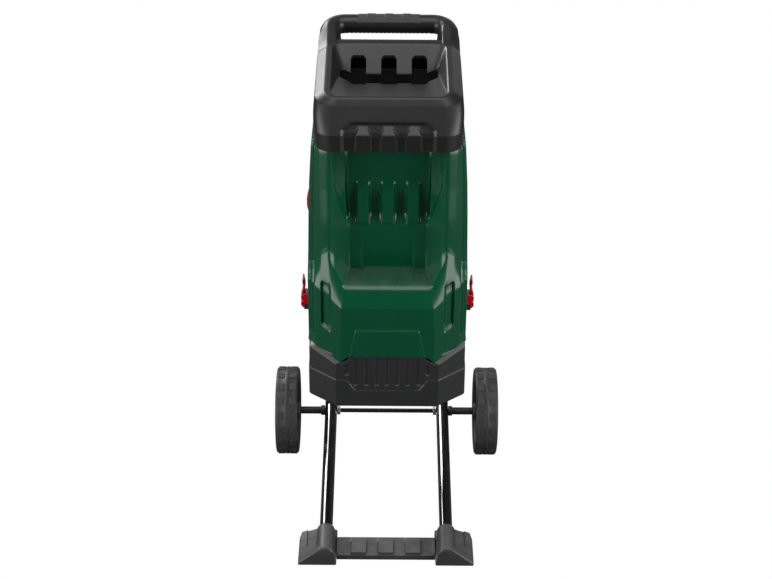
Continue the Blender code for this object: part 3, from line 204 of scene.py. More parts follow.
air_level.inputs["To Max"].default_value = 1.0
air.links.new(air_rays.outputs["Is Camera Ray"], air_level.inputs["Value"])
air.links.new(air_level.outputs[0], air.nodes["Background"].inputs["Strength"])
air.nodes["Background"].inputs["Color"].default_value = rgb((1, 1, 1))


# ---- Leg tubes ---------------------------------------------------------------------------------
# Two 22 mm steel tubes, bent once behind the axle and powder coated gloss black.  The coating has a
# slight orange peel and a few dull rub marks.
def gloss_coat():
    finish = Finish("gloss_black_coat")
    peel = finish.noise(900.0, 2.0)
    rubbed = finish.ranged(finish.noise(38.0, 5.0), 0.56, 0.72)
    finish.set(Base_Color=finish.blend(rubbed * 0.5, rgb((0.006, 0.006, 0.007)), rgb((0.014, 0.014, 0.015))),
               Roughness=rubbed * 0.14 + 0.10, Coat_Weight=1.0 - rubbed * 0.6, Coat_Roughness=0.05)
    finish.bump(peel, 0.12, 0.0002)
    return finish.material


def new_piece(name, form, material, body, nodes, smooth_angle=40.0):
    """Puts a finished bmesh in the scene as a piece that rides on a body and stands for CAD nodes."""
    mesh = bpy.data.meshes.new(name)
    form.to_mesh(mesh)
    form.free()
    mesh.materials.append(material)
    piece = bpy.data.objects.new(name, mesh)
    bpy.context.scene.collection.objects.link(piece)
    mesh.shade_smooth()
    mesh.set_sharp_from_angle(angle=math.radians(smooth_angle))
    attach(piece, body)
    if nodes:
        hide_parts(*nodes)
    return piece


def skin(form, rings, looped=False, capped=True):
    """Skins equal rings of points, in metres, into a bmesh."""
    rows = [[form.verts.new(point) for point in ring] for ring in rings]
    pairs = list(zip(rows, rows[1:])) + ([(rows[-1], rows[0])] if looped else [])
    for low, high in pairs:
        for index, corner in enumerate(low):
            after = (index + 1) % len(low)
            form.faces.new((corner, low[after], high[after], high[index]))
    if capped and not looped:
        form.faces.new(list(reversed(rows[0])))
        form.faces.new(rows[-1])


def outward(form):
    bmesh.ops.remove_doubles(form, verts=form.verts, dist=1e-6)
    bmesh.ops.recalc_face_normals(form, faces=form.faces)
    return form


def disc_points(radius, steps):
    return [(radius * math.cos(math.tau * k / steps), radius * math.sin(math.tau * k / steps))
            for k in range(steps)]


# The lower run rises to the rear, the upper run leans forward, and they meet behind the axle.
LEG_RISE = math.radians(9.8)
LEG_LEAN = math.radians(24.0)
LEG_BEND = 0.032
LEG_CORNER = 0.045
LEG_WALL = 0.0015
gloss_black = gloss_coat()


def leg_route(low_box, high_box):
    """Centre line of a leg: from inside its foot, round the bend and up into the base housing."""
    low = Vector((0, math.cos(LEG_RISE), math.sin(LEG_RISE)))
    high = Vector((0, -math.sin(LEG_LEAN), math.cos(LEG_LEAN)))
    corner = Vector((0, AXLE.y, AXLE.z)) + low * LEG_CORNER
    turn = math.pi / 2 + LEG_LEAN - LEG_RISE
    tangent = LEG_BEND * math.tan(turn / 2)
    across = Vector((0, -low.z, low.y))
    middle = corner - low * tangent + across * LEG_BEND
    route = [corner + low * ((low_box.y + 0.002 - corner.y) / low.y), corner - low * (tangent + 0.06)]
    for step in range(25):
        angle = turn * step / 24
        route.append(middle + (low * math.sin(angle) - across * math.cos(angle)) * LEG_BEND)
    route.append(corner + high * ((high_box.z - 0.005 - corner.z) / high.z))
    return route


def tube_rings(route, radius, x, steps):
    rings = []
    for index, point in enumerate(route):
        before, after = route[max(index - 1, 0)], route[min(index + 1, len(route) - 1)]
        heading = (after - before).normalized()
        across = Vector((0, -heading.z, heading.y))
        rings.append([point + Vector((x + a, 0, 0)) + across * b for a, b in disc_points(radius, steps)])
    return rings


for side in ("left", "right"):
    low_box, high_box = (Vector(corner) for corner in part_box(side + "_leg_tube"))
    leg_x = (low_box.x + high_box.x) / 2
    leg_radius = (high_box.x - low_box.x) / 2
    route = leg_route(low_box, high_box)
    form = bmesh.new()
    bore = tube_rings(route, leg_radius - LEG_WALL, leg_x, 40)
    skin(form, tube_rings(route, leg_radius, leg_x, 40) + bore[::-1], looped=True)
    new_piece(side + "_leg", outward(form), gloss_black, "machine", [side + "_leg_tube"])


# ---- Working parts inside ----------------------------------------------------------------------
# The motor, knife disc, bearings, screws and brackets: cast alloy, ground steel, zinc plated steel,
# copper windings and charcoal mouldings, each with its edges broken as machining leaves them.
def moulded(name, colour, roughness, grain=1400.0, depth=0.06, dust_and_sheen_amount=0.05):
    """Textured injection moulding: spark-eroded grain, faint flow marks, and on what faces up dust mixed with
    a painted sheen of top light.
    """
    finish = Finish(name)
    flow = finish.noise(9.0, 3.0)
    fine = finish.noise(grain, 2.0)
    # What faces up is blended towards pale grey: partly dust, partly painted sheen standing in for the top
    # light.
    top_dust_and_sheen = finish.ranged(finish.facing_up(), 0.55, 1.0) * finish.noise(60.0, 6.0) * dust_and_sheen_amount
    tone = finish.blend(flow, rgb(colour, 0.90), rgb(colour, 1.10))
    finish.set(Base_Color=finish.blend(top_dust_and_sheen, tone, rgb((0.20, 0.195, 0.185))),
               Roughness=fine * 0.10 + flow * 0.08 + (roughness - 0.09), Specular_IOR_Level=0.36)
    finish.bump(fine, depth, 0.0003)
    return finish.material


def worked_metal(name, colour, roughness, stretch, scratch=0.12):
    """Bare metal with fine tool marks along one direction and darker stains."""
    finish = Finish(name)
    lines = finish.noise(90.0, 4.0, stretch=stretch)
    stain = finish.ranged(finish.noise(14.0, 4.0), 0.35, 0.75)
    finish.set(Base_Color=finish.blend(stain, rgb(colour, 0.82), rgb(colour)), Metallic=1.0,
               Roughness=lines * scratch + stain * 0.08 + roughness)
    finish.bump(lines, 0.10, 0.0002)
    return finish.material


def wound_wire(name):
    """Varnished copper turns round the laminations."""
    finish = Finish(name)
    turns = finish.node("ShaderNodeTexWave", {"bands_direction": "Z"},
                        {"Vector": finish.place(), "Scale": 160.0, "Distortion": 1.2})
    ridge = Signal(finish, turns.outputs["Fac"])
    finish.set(Base_Color=finish.blend(ridge, rgb((0.20, 0.07, 0.03)), rgb((0.72, 0.32, 0.16))), Metallic=0.9,
               Roughness=ridge * -0.15 + 0.5)
    finish.bump(ridge, 0.5, 0.0006)
    return finish.material


inner_finishes = {
    "charcoal_plastic": moulded("charcoal_plastic", (0.018, 0.0183, 0.0195), 0.46),
    "zinc_plated_steel": worked_metal("zinc_plate", (0.62, 0.63, 0.64), 0.22, (1, 1, 8)),
    "ground_steel": worked_metal("ground_tool_steel", (0.70, 0.71, 0.73), 0.14, (8, 1, 1)),
    "cast_alloy": worked_metal("cast_alloy", (0.17, 0.173, 0.178), 0.50, (1, 1, 1), 0.2),
    "wound_copper": wound_wire("copper_windings"),
    "soft_rubber": moulded("soft_rubber", (0.022, 0.022, 0.023), 0.78, 2200.0, 0.12),
}


def broken_edges(piece, width, angle, harden=False):
    bevel = piece.modifiers.new("broken_edge", "BEVEL")
    bevel.width = width * MM
    bevel.segments = 2
    bevel.limit_method = "ANGLE"
    bevel.angle_limit = math.radians(angle)
    bevel.harden_normals = harden


def dressed(node, body, edge, material):
    """A copy of a CAD node with its flat facets merged, its edges broken and its round faces smooth."""
    form = bmesh.new()
    form.from_mesh(frame["nodes"][node].data)
    bmesh.ops.remove_doubles(form, verts=form.verts, dist=2e-6)
    bmesh.ops.dissolve_limit(form, angle_limit=math.radians(1.0), verts=form.verts, edges=form.edges)
    piece = new_piece(node + "_finished", form, material, body, [node], 32.0)
    broken_edges(piece, edge, 40.0, harden=True)


remade = {"foot_cross_bar", "base_shell", "upper_shell", "hopper", "handle_grip", "switch_rocker",
          "switch_box", "rear_cover", "reset_button"}
for part in ("_leg_tube", "_foot", "_tyre", "_wheel_rim", "_hub_cap", "_latch"):
    remade |= {"left" + part, "right" + part}
slot_of = {entry["node"]: entry["material_slot"] for entry in frame["record"]["subparts"]}
for body, members in frame["record"]["behaviour"]["bodies"].items():
    for node in members:
        if node == "axle_rod":
            dressed(node, body, 0.4, gloss_black)
        elif node not in remade:
            dressed(node, body, 0.25, inner_finishes[slot_of[node]])


# ---- Base housing ------------------------------------------------------------------------------
# Charcoal tub that carries the motor: chamfered front corners with a ledge under the green housing, a
# raised lower band, seven long and two short vent grooves, and the lower eyes of the rear hinge.
def eased(value, low, high):
    """0 below low, 1 above high and a smooth ramp between them; numbers or arrays."""
    share = np.clip((value - low) / (high - low), 0.0, 1.0)
    return share * share * (3 - 2 * share)


def whole_rows(half_rows):
    """Joins each half row with its mirror image: a closed ring, starting at the middle of the front."""
    mirrored = half_rows[:, -2:0:-1] * np.array([-1, 1, 1])
    return np.concatenate([half_rows, mirrored], axis=1)


def shell_form(rows):
    form = bmesh.new()
    skin(form, [[Vector(point) * MM for point in row] for row in rows.tolist()], capped=False)
    bmesh.ops.remove_doubles(form, verts=form.verts, dist=2e-5)
    return form


def softened(form, amount):
    """Rounds a moulding's edges a little and turns its faces outwards."""
    inside = [v for v in form.verts if not v.is_boundary]
    bmesh.ops.smooth_vert(form, verts=inside, factor=amount, use_axis_x=True, use_axis_y=True,
                          use_axis_z=True)
    bmesh.ops.recalc_face_normals(form, faces=form.faces)
    return form


def shell_wall(piece, thickness):
    wall = piece.modifiers.new("wall", "SOLIDIFY")
    wall.thickness = thickness * MM
    wall.offset = -1.0


def box_mm(node):
    """Lowest and highest corners of a node's box, in millimetres."""
    return [Vector(corner) * 1000 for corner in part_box(node)]


def corner_arc(x, y, radius_x, radius_y, angles):
    return np.column_stack([x + radius_x * np.cos(angles), y + radius_y * np.sin(angles)])


HINGE = [(low + high) * 500 for low, high in zip(*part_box("hinge_pin"))]
BASE_FLOOR = box_mm("base_shell")[0].z
BASE_REAR = HINGE[1] - 7.5
BASE_FRONT = -118.4
BASE_HALF = 130
BASE_CHAMFER = (84, -81)
BASE_CORNER = 14.0
BASE_WALL = 3.2
EYE_RADIUS = 6.4
OUTLET = box_mm("discharge_chute")
BAND_STEP = 1.3
VENT_PITCH, VENT_HALF, VENT_DEPTH, SHORT_VENT_X = 16.9, 3.5, 1.5, 66.6


def base_half(inset, height):
    """Half outline from middle front to middle rear; height is a number or a row of heights."""
    half = BASE_HALF - inset
    front = [(0, BASE_FRONT + inset), (BASE_CHAMFER[0] - inset * 0.5, BASE_FRONT + inset),
             (half - 0.4, BASE_CHAMFER[1] + inset * 0.5), (half, -62), (half, BASE_REAR - BASE_CORNER)]
    parts = [np.linspace(front[k], front[k + 1], count, endpoint=False)
             for k, count in enumerate((80, 14, 6, 18))]
    parts.append(corner_arc(half - BASE_CORNER, BASE_REAR - BASE_CORNER, BASE_CORNER, BASE_CORNER - inset,
                            np.linspace(0, math.pi / 2, 7)[:-1]))
    parts.append(np.linspace((half - BASE_CORNER, BASE_REAR - inset), (0, BASE_REAR - inset), 13))
    plan = np.concatenate(parts)
    return np.column_stack([plan, np.broadcast_to(height, len(plan))])


def inner_ledge():
    """Where the ledge meets the green housing: same stations as base_half, on the housing's outline."""
    row = base_half(0.0, 0.0)
    row[:80, 1] = -115.6
    row[:80, 0] *= 77 / BASE_CHAMFER[0]
    row[80:94, :2] = np.linspace((77, -115.9), (117, -83.4), 14, endpoint=False)
    row[94:100, :2] = np.linspace((117, -83.4), (129.3, -62), 6, endpoint=False)
    row[100:, 0] = np.minimum(row[100:, 0], 129.3)
    return row


outline = base_half(0.0, 0.0)
# Height of the top edge along that outline: it dips where the chamfer starts.
TOP_EDGE = np.interp(np.arange(len(outline)), [0, 58, 60, 73, 80, 85, 90, 94, 100, 106, 131],
                     [355.2, 355.2, 353.6, 343.1, 343.6, 348.1, 353.0, 356.3, 356.8, 354.8, 354.8])
rows = [base_half(inset, BASE_FLOOR + rise) for inset, rise in (
    (3.2, 0.0), (2.4, 0.1), (2.4, 1.5), (1.2, 1.7), (1.2, 3.2), (0.1, 3.4), (0.0, 6.0))]
SIDE_ROWS = 58
for step in range(SIDE_ROWS + 1):
    rows.append(base_half(0.0, BASE_FLOOR + 8 + (TOP_EDGE - 4.2 - BASE_FLOOR - 8) * step / SIDE_ROWS))
base = np.array(rows)
x, y, z = base[..., 0].copy(), base[..., 1].copy(), base[..., 2]
band = np.interp(x, [0, 52, 66, 84, 131], [289, 289, 309, 310, 311])
above = eased(z - band, -0.5, 0.6)
front_share = eased(-y, 80, 84)
base[..., 1] += BAND_STEP * above * front_share
base[..., 0] -= BAND_STEP * above * (1 - front_share) * eased(-y, -118, 0) * (y < 110)
grooves = np.zeros_like(x)
for middle in [VENT_PITCH * k for k in range(4)] + [SHORT_VENT_X]:
    low, high = (318.0, 338.0) if middle == SHORT_VENT_X else (298.0, 350.0)
    past_end = np.maximum(np.maximum(z - (high - 3.2), (low + 3.2) - z), 0)
    grooves = np.maximum(grooves, eased(VENT_HALF - np.hypot(x - middle, past_end), 0.0, 0.9))
base[..., 1] += VENT_DEPTH * grooves * (y < -100)
ledge = inner_ledge()
ledge[:, 2] = TOP_EDGE - 0.4
mid = base[-1] + (ledge - base[-1]) * 0.12
mid[:, 2] = TOP_EDGE - 3.2
inner_edge = ledge.copy()
inner_edge[:, :2] *= 0.985
inner_edge[:, 2] = TOP_EDGE - 0.2
deck_edge = inner_edge.copy()
deck_edge[:, 2] -= 3.0
base = np.concatenate([base, np.array([mid, ledge, inner_edge, deck_edge])])
floor_edge = base[0].copy()
reach = Vector((OUTLET[1].x - 2.0, OUTLET[0].y + 2.0, OUTLET[1].y - 2.0))
floor_edge[:, 0] = np.clip(floor_edge[:, 0], 0, reach.x)
floor_edge[:, 1] = np.clip(floor_edge[:, 1], reach.y, reach.z)
base = np.concatenate([floor_edge[None], base])


def hinge_eye(form, start, end, way):
    """Adds a hinge eye with its web: way is -1 for the base's eyes and 1 for the housing's."""
    pin_y, pin_z = HINGE[1:]
    round_part = [(pin_y + EYE_RADIUS * math.cos(a), pin_z + EYE_RADIUS * math.sin(a))
                  for a in (-way * math.pi / 2 + way * math.pi * k / 20 for k in range(21))]
    web = [(pin_y - 2, pin_z + way * EYE_RADIUS), (BASE_REAR - 1.5, pin_z + way * 22),
           (BASE_REAR - 1.5, pin_z + way * 4), (pin_y - EYE_RADIUS, pin_z + way),
           (pin_y - 3, pin_z - way * 5.5)]
    eye = bmesh.new()
    skin(eye, [[Vector((x, y, z)) * MM for y, z in round_part + web] for x in (start, end)])
    bmesh.ops.recalc_face_normals(eye, faces=eye.faces)
    joined = bpy.data.meshes.new("hinge_eye")
    eye.to_mesh(joined)
    eye.free()
    form.from_mesh(joined)
    bpy.data.meshes.remove(joined)


# The base's upward faces get the strongest lightening: dust together with a painted sheen of the top light.
base_plastic = moulded("base_plastic", (0.0155, 0.0158, 0.0168), 0.44, dust_and_sheen_amount=1.0)
form = softened(shell_form(whole_rows(base)), 0.2)
for sign in (-1, 1):
    hinge_eye(form, sign * 54.0, sign * 78.0, -1)
base_piece = new_piece("base_tub", form, base_plastic, "machine", ["base_shell"], 26.0)
shell_wall(base_piece, BASE_WALL)


# ---- Feet and cross bar ------------------------------------------------------------------------
# Each leg is pushed into a moulded foot whose ramp runs out to a thin toe; a bar with three tread
# blocks joins the two feet, all in charcoal polypropylene.
def lower_run(y):
    """Height of the leg's centre line over the ground on its lower run, in millimetres."""
    corner_y = (AXLE.y + LEG_CORNER * math.cos(LEG_RISE)) / MM
    corner_z = (AXLE.z + LEG_CORNER * math.sin(LEG_RISE)) / MM
    return corner_z - (corner_y - y) * math.tan(LEG_RISE)


# The feet's upward faces are lightened: dust together with a painted sheen of the top light.
foot_plastic = moulded("foot_plastic", (0.030, 0.0303, 0.0315), 0.46, dust_and_sheen_amount=0.4)
foot_low, foot_high = box_mm("right_foot")
FOOT_LEG_X = 102.0
SLEEVE = 15.0
SLEEVE_END_Y = foot_low.y + 56.0
TOE = 5.0
RAMP_RISE = 29.0
POCKET_DEPTH = 2.2


def foot_top(x, y):
    """Height of the foot's upper face: an outward ramp, the sleeve over the leg, a tool pocket."""
    fall = 1.0 - 0.55 * (y - foot_low.y) / (foot_high.y - foot_low.y)
    ramp = TOE + (foot_high.x - x) / 36.0 * RAMP_RISE * fall
    flat_inside = 10.5 + (x - foot_low.x) * 0.5
    height = min(ramp, TOE + RAMP_RISE * fall) if x > FOOT_LEG_X else flat_inside
    pocket = float(eased(x, 116.6, 117.4) * eased(-x, -134.4, -133.6) * eased(y, -180.5, -179.5))
    height -= POCKET_DEPTH * pocket
    reach = SLEEVE ** 2 - (x - FOOT_LEG_X) ** 2
    if y <= SLEEVE_END_Y and reach > 0:
        height = max(height, lower_run(y) + math.sqrt(reach))
    if y > SLEEVE_END_Y and abs(x - FOOT_LEG_X) < SLEEVE + 1:
        height = min(height, lower_run(y) - 12.5)
    return height


def foot_rings(sign):
    """Sections of a foot from its front to its rear, closer together where its edges are rounded."""
    depths = [foot_low.y, foot_low.y + 1.2, foot_low.y + 3.4]
    depths += [foot_low.y + 3.4 + (SLEEVE_END_Y - 1.2 - foot_low.y - 3.4) * k / 26 for k in range(1, 27)]
    depths += [SLEEVE_END_Y - 0.1, SLEEVE_END_Y + 0.1]
    depths += [SLEEVE_END_Y + (foot_high.y - 1.5 - SLEEVE_END_Y) * k / 12 for k in range(1, 13)]
    depths += [foot_high.y]
    rings = []
    for y in depths:
        edge = {depths[0]: 3.0, depths[1]: 1.1, depths[-1]: 1.6}.get(y, 0.0)
        if SLEEVE_END_Y - 1.3 < y < SLEEVE_END_Y and y != depths[-15]:
            edge = 0.8
        outer = foot_high.x - 3.5 * float(eased(y, foot_high.y - 26, foot_high.y)) ** 2
        inner = foot_low.x + edge * 0.5
        row = []
        for k in range(61):
            x = inner + (outer - edge * 0.3 - inner) * k / 60
            drop = {0: 1.0, 1: 0.3}.get(min(k, 60 - k), 0.0)
            row.append((x, max(foot_top(x, y) - edge - drop, 1.0)))
        row += [(outer - edge * 0.3, 0.0), (inner, 0.0)]
        rings.append([Vector((sign * x, y, z)) * MM for x, z in row])
    return rings


for side, sign in (("left", -1), ("right", 1)):
    form = bmesh.new()
    skin(form, foot_rings(sign))
    new_piece(side + "_foot_block", outward(form), foot_plastic, "machine",
              [side + "_foot"], 32.0)
bar_low, bar_high = box_mm("foot_cross_bar")
TREAD_STEPS = (-46.0, 0.0, 46.0)


def bar_profile(x):
    """Section of the bar at x: plain, raised over a tread block, or thicker at the end collars."""
    block = max(float(eased(13.0 - abs(x - middle), -0.7, 0.7)) for middle in TREAD_STEPS)
    collar = float(eased(abs(x), bar_high.x - 4.2, bar_high.x - 3.4))
    rise, proud = 3.6 * block + 1.6 * collar, 1.6 * block + 0.9 * collar
    front, rear = bar_low.y + 1.0, bar_high.y
    return [(front, 0), (front, 8.6), (front + 0.7, 9.4), (front + 2.4 - proud, 10.0 + 0.4 * rise),
            (front + 3.4 - proud, 11.0 + 0.9 * rise), (front + 10.0, 12.0 + rise), (rear - 13.0, 13.4 + rise),
            (rear - 11.4, 13.8 + 0.25 * rise), (rear - 1.5, 14.8), (rear, 13.6), (rear, 0)]


stations = {bar_low.x, bar_high.x, bar_low.x + 5, bar_high.x - 5, bar_low.x + 3.0, bar_high.x - 3.0}
for middle in TREAD_STEPS:
    stations.add(middle)
    for edge in (12.2, 12.6, 13.0, 13.4, 13.8):
        stations |= {middle - edge, middle + edge}
form = bmesh.new()
skin(form, [[Vector((x, y, z)) * MM for y, z in bar_profile(x)] for x in sorted(stations)])
new_piece("cross_bar", outward(form), foot_plastic, "machine", ["foot_cross_bar"], 30.0)


# ---- Wheels ------------------------------------------------------------------------------------
# Blow-moulded wheels on the rod axle: a dark grey tread with two rows of pads and a centre rib round a
# charcoal rim of six flat spokes, closed by a pressed-in hub cap.
def tree_node(tree, kind, settings, inputs):
    """Adds a Geometry node, settings first, then values or links of its sockets; gives its output."""
    node = tree.nodes.new(kind)
    for key, value in settings.items():
        setattr(node, key, value)
    for key, value in inputs.items():
        if isinstance(value, bpy.types.NodeSocket):
            tree.links.new(value, node.inputs[key])
        else:
            node.inputs[key].default_value = value
    return node.outputs[0]


def ring_tree():
    """Blocks set evenly round an axle along X: named inputs give their count, place and sizes."""
    tree = bpy.data.node_groups.new("blocks_round_axle", "GeometryNodeTree")
    face = tree.interface
    face.new_socket("Geometry", in_out="OUTPUT", socket_type="NodeSocketGeometry")
    for name, kind in (("Count", "Int"), ("Radius", "Float"), ("Turn", "Float"), ("Block Size", "Vector"),
                       ("Centre", "Vector"), ("Material", "Material")):
        face.new_socket(name, in_out="INPUT", socket_type="NodeSocket" + kind)
    given = tree.nodes.new("NodeGroupInput").outputs
    number = tree.nodes.new("GeometryNodeInputIndex").outputs[0]
    circle = tree_node(tree, "GeometryNodeMeshCircle", {},
                       {"Vertices": given["Count"], "Radius": given["Radius"]})
    block = tree_node(tree, "GeometryNodeMeshCube", {}, {"Size": given["Block Size"]})
    share = tree_node(tree, "ShaderNodeMath", {"operation": "DIVIDE"}, {0: number, 1: given["Count"]})
    angle = tree_node(tree, "ShaderNodeMath", {"operation": "MULTIPLY"}, {0: share, 1: math.tau})
    spin = tree_node(tree, "ShaderNodeCombineXYZ", {}, {"Z": angle})
    placed = tree_node(tree, "GeometryNodeInstanceOnPoints", {},
                       {"Points": circle, "Instance": block, "Rotation": spin})
    solid = tree_node(tree, "GeometryNodeRealizeInstances", {}, {"Geometry": placed})
    upright = tree_node(tree, "GeometryNodeTransform", {},
                        {"Geometry": solid, "Rotation": (0.0, math.pi / 2, 0.0)})
    turned = tree_node(tree, "ShaderNodeCombineXYZ", {}, {"X": given["Turn"]})
    final = tree_node(tree, "GeometryNodeTransform", {},
                      {"Geometry": upright, "Rotation": turned, "Translation": given["Centre"]})
    coated = tree_node(tree, "GeometryNodeSetMaterial", {},
                       {"Geometry": final, "Material": given["Material"]})
    tree.links.new(coated, tree.nodes.new("NodeGroupOutput").inputs[0])
    return tree


def add_blocks(form, name, tree, values):
    """Runs a Geometry Nodes tree with its named inputs and adds the plain mesh that results to form."""
    holder = bpy.data.objects.new(name, bpy.data.meshes.new(name))
    bpy.context.scene.collection.objects.link(holder)
    growth = holder.modifiers.new("growth", "NODES")
    growth.node_group = tree
    for item in tree.interface.items_tree:
        if item.in_out == "INPUT" and item.name in values:
            growth[item.identifier] = values[item.name]
    bpy.context.view_layer.update()
    graph = bpy.context.evaluated_depsgraph_get()
    made = bpy.data.meshes.new_from_object(holder.evaluated_get(graph))
    form.from_mesh(made)
    bpy.data.objects.remove(holder, do_unlink=True)
    bpy.data.meshes.remove(made)


def spun(form, profile, centre, steps):
    """Turns a closed profile of (x, radius) points, in millimetres, round the axle through centre."""
    rings = []
    for k in range(steps):
        angle = math.tau * k / steps
        rings.append([Vector((x, centre[1] + r * math.cos(angle), centre[2] + r * math.sin(angle))) * MM
                      for x, r in profile])
    skin(form, rings, looped=True)


def both_ways(half_profile):
    """A profile given on its positive side, with its mirror image before it."""
    return [(-x, r) for x, r in half_profile] + half_profile[::-1]


tread_plastic = moulded("tread_plastic", (0.026, 0.0263, 0.0272), 0.50, 1600.0, 0.08)
rim_plastic = moulded("rim_plastic", (0.015, 0.0153, 0.0163), 0.48)
block_ring = ring_tree()
PADS, PAD_SIZE, PAD_ROW = 18, Vector((2.6, 13.8, 12.2)), 10.8
SPOKES, SPOKE_MIDDLE, SPOKE_LENGTH = 6, 33.6, 38.5
for side, sign in (("left", -1), ("right", 1)):
    tyre_low, tyre_high = box_mm(side + "_tyre")
    middle_x = (tyre_low.x + tyre_high.x) / 2
    radius = (tyre_high.z - tyre_low.z) / 2
    half = (tyre_high.x - tyre_low.x) / 2
    centre = Vector((middle_x, AXLE.y * 1000, AXLE.z * 1000))
    tread = radius - 1.1
    profile = both_ways([
        (half - 3, radius - 14), (half - 0.8, radius - 9), (half - 0.2, radius - 3.8),
        (half - 0.9, radius - 2.2), (half - 2.4, tread - 0.4), (half - 6, tread), (3.4, tread + 0.2),
        (2.2, tread + 1.0), (0.5, tread + 1.1)])
    form = bmesh.new()
    spun(form, [(middle_x + x, r) for x, r in profile], centre, 108)
    outward(form)
    for row in (-1, 1):
        add_blocks(form, "pads", block_ring, {
            "Count": PADS, "Radius": (radius - 1.4) * MM, "Turn": math.radians(4.0),
            "Block Size": PAD_SIZE * MM, "Centre": (centre + Vector((row * PAD_ROW, 0, 0))) * MM,
            "Material": tread_plastic})
    tyre = new_piece(side + "_wheel_tread", form, tread_plastic, side + "_wheel",
                     [side + "_tyre"])
    broken_edges(tyre, 0.45, 50.0)
    form = bmesh.new()
    seat = radius - 14.2
    profile = both_ways([(half - 2.2, seat), (half - 1.4, seat - 0.9), (half - 2.4, seat - 4.5),
                         (half - 6, seat - 5.4)])
    spun(form, [(middle_x + x, r) for x, r in profile], centre, 96)
    hub_in = min((corner.x for corner in box_mm(side + "_wheel_rim")), key=lambda x: sign * x)
    hub_out = middle_x + sign * (half - 7)
    spun(form, [(hub_in, 4.6), (hub_in, 13.4), (hub_in + sign * 1.2, 14.6), (middle_x, 16.2),
                (hub_out - sign * 1.2, 15.6), (hub_out, 14.4), (hub_out, 4.6)], centre, 64)
    outward(form)
    for width, depth in ((13.0, 5.0), (3.2, 15.0)):
        add_blocks(form, "spokes", block_ring, {
            "Count": SPOKES, "Radius": SPOKE_MIDDLE * MM, "Turn": math.radians(15.0),
            "Block Size": Vector((SPOKE_LENGTH, width, depth)) * MM, "Centre": centre * MM,
            "Material": rim_plastic})
    rim = new_piece(side + "_spoked_rim", form, rim_plastic, side + "_wheel",
                    [side + "_wheel_rim"])
    broken_edges(rim, 0.6, 40.0)
    cap_low, cap_high = box_mm(side + "_hub_cap")
    cap_in, cap_out = sorted((cap_low.x, cap_high.x), key=abs)
    cap_radius = (cap_high.z - cap_low.z) / 2
    form = bmesh.new()
    dome = [(cap_in, cap_radius - 3.4), (cap_in, cap_radius - 0.6), (cap_in + sign * 0.8, cap_radius)]
    for step in range(1, 9):
        turned = step / 8 * math.pi / 2
        dome.append((cap_out - sign * 2.4 * (1 - math.sin(turned)), max(cap_radius * math.cos(turned), 0.05)))
    spun(form, dome + [(cap_in, 0.05)], centre, 64)
    new_piece(side + "_hub_dome", outward(form), tread_plastic, side + "_wheel",
              [side + "_hub_cap"], 35.0)


# ---- Green feed housing ------------------------------------------------------------------------
# One injection-moulded ABS shell with a 3 mm wall: a rounded bulge over the knives, a deep channel in
# front with three grip ribs, fluted flanks and a flat top plate round the feed opening.
def satin_moulded(name, colour, roughness):
    """Fine satin moulding: even colour, very faint flow and grain, a little rubbing, and on what faces up
    dust mixed with a painted sheen of top light.
    """
    finish = Finish(name)
    flow = finish.noise(7.0, 3.0)
    fine = finish.noise(1800.0, 1.0)
    rubbed = finish.ranged(finish.noise(24.0, 7.0), 0.45, 0.90)
    # What faces up is blended towards pale grey-green: partly dust, partly painted sheen standing in for the
    # top light.
    top_dust_and_sheen_share = finish.ranged(finish.facing_up(), 0.6, 1.0) * finish.noise(45.0, 6.0) * 0.30
    tone = finish.blend(flow, rgb(colour, 0.92), rgb(colour, 1.08))
    finish.set(Base_Color=finish.blend(top_dust_and_sheen_share, tone, rgb((0.16, 0.18, 0.16))),
               Roughness=fine * 0.06 + rubbed * 0.05 + flow * 0.05 + (roughness - 0.07),
               Specular_IOR_Level=0.42)
    finish.bump(fine, 0.05, 0.0002)
    return finish.material


def cutter(name, outline, axis, low, high):
    """A hidden prism, in millimetres, that a Boolean takes away."""
    order = {"z": (0, 1, 2), "y": (0, 2, 1), "x": (2, 0, 1)}[axis]
    form = bmesh.new()
    skin(form, [[Vector([(a, b, end)[k] for k in order]) * MM for a, b in outline] for end in (low, high)])
    bmesh.ops.recalc_face_normals(form, faces=form.faces)
    mesh = bpy.data.meshes.new(name)
    form.to_mesh(mesh)
    form.free()
    tool = bpy.data.objects.new(name, mesh)
    bpy.context.scene.collection.objects.link(tool)
    return tool


def cut_away(piece, tools):
    """Takes the tools away from a piece, turns its modifiers into its plain mesh and drops the tools."""
    for tool in tools:
        trim = piece.modifiers.new(tool.name, "BOOLEAN")
        trim.operation = "DIFFERENCE"
        trim.solver = "EXACT"
        trim.object = tool
    bpy.context.view_layer.update()
    graph = bpy.context.evaluated_depsgraph_get()
    made = bpy.data.meshes.new_from_object(piece.evaluated_get(graph))
    old = piece.data
    piece.modifiers.clear()
    piece.data = made
    bpy.data.meshes.remove(old)
    for tool in tools:
        bpy.data.objects.remove(tool, do_unlink=True)
    piece.data.shade_smooth()
    piece.data.set_sharp_from_angle(angle=math.radians(24.0))


HOPPER_FOOT = box_mm("hopper")[0].z
PARTING = 355.0
FRONT = -116.5
FLANK = 129.6
REAR = 127.6
REAR_ROUND = 14.0
HOUSING_TOP = HOPPER_FOOT - 0.3
HOUSING_WALL = 3.0
DECK_REACH = (84.5, 32.0, 105.0)
RIB_EDGES, SLIM_RIB_EDGES = (0, 9, 12, 28, 31), (0, 8.5, 11.5, 28, 31)
TAPER_EDGES = (0, 8.5, 11.5, 28.5, 31.5, 48.5, 51.5)
# Columns of the grid from each station to the next, from the middle to the flank.
COLUMNS = (5, 2, 8, 2, 7, 2, 6, 1, 12, 2, 4, 2, 8, 18)


def station_level(count, y, z, flat, *outer):
    """Stations of one level, count rows above the last: those at flat share y and z, the outer don't."""
    return count, [(x, y, z) for x in flat] + list(outer)


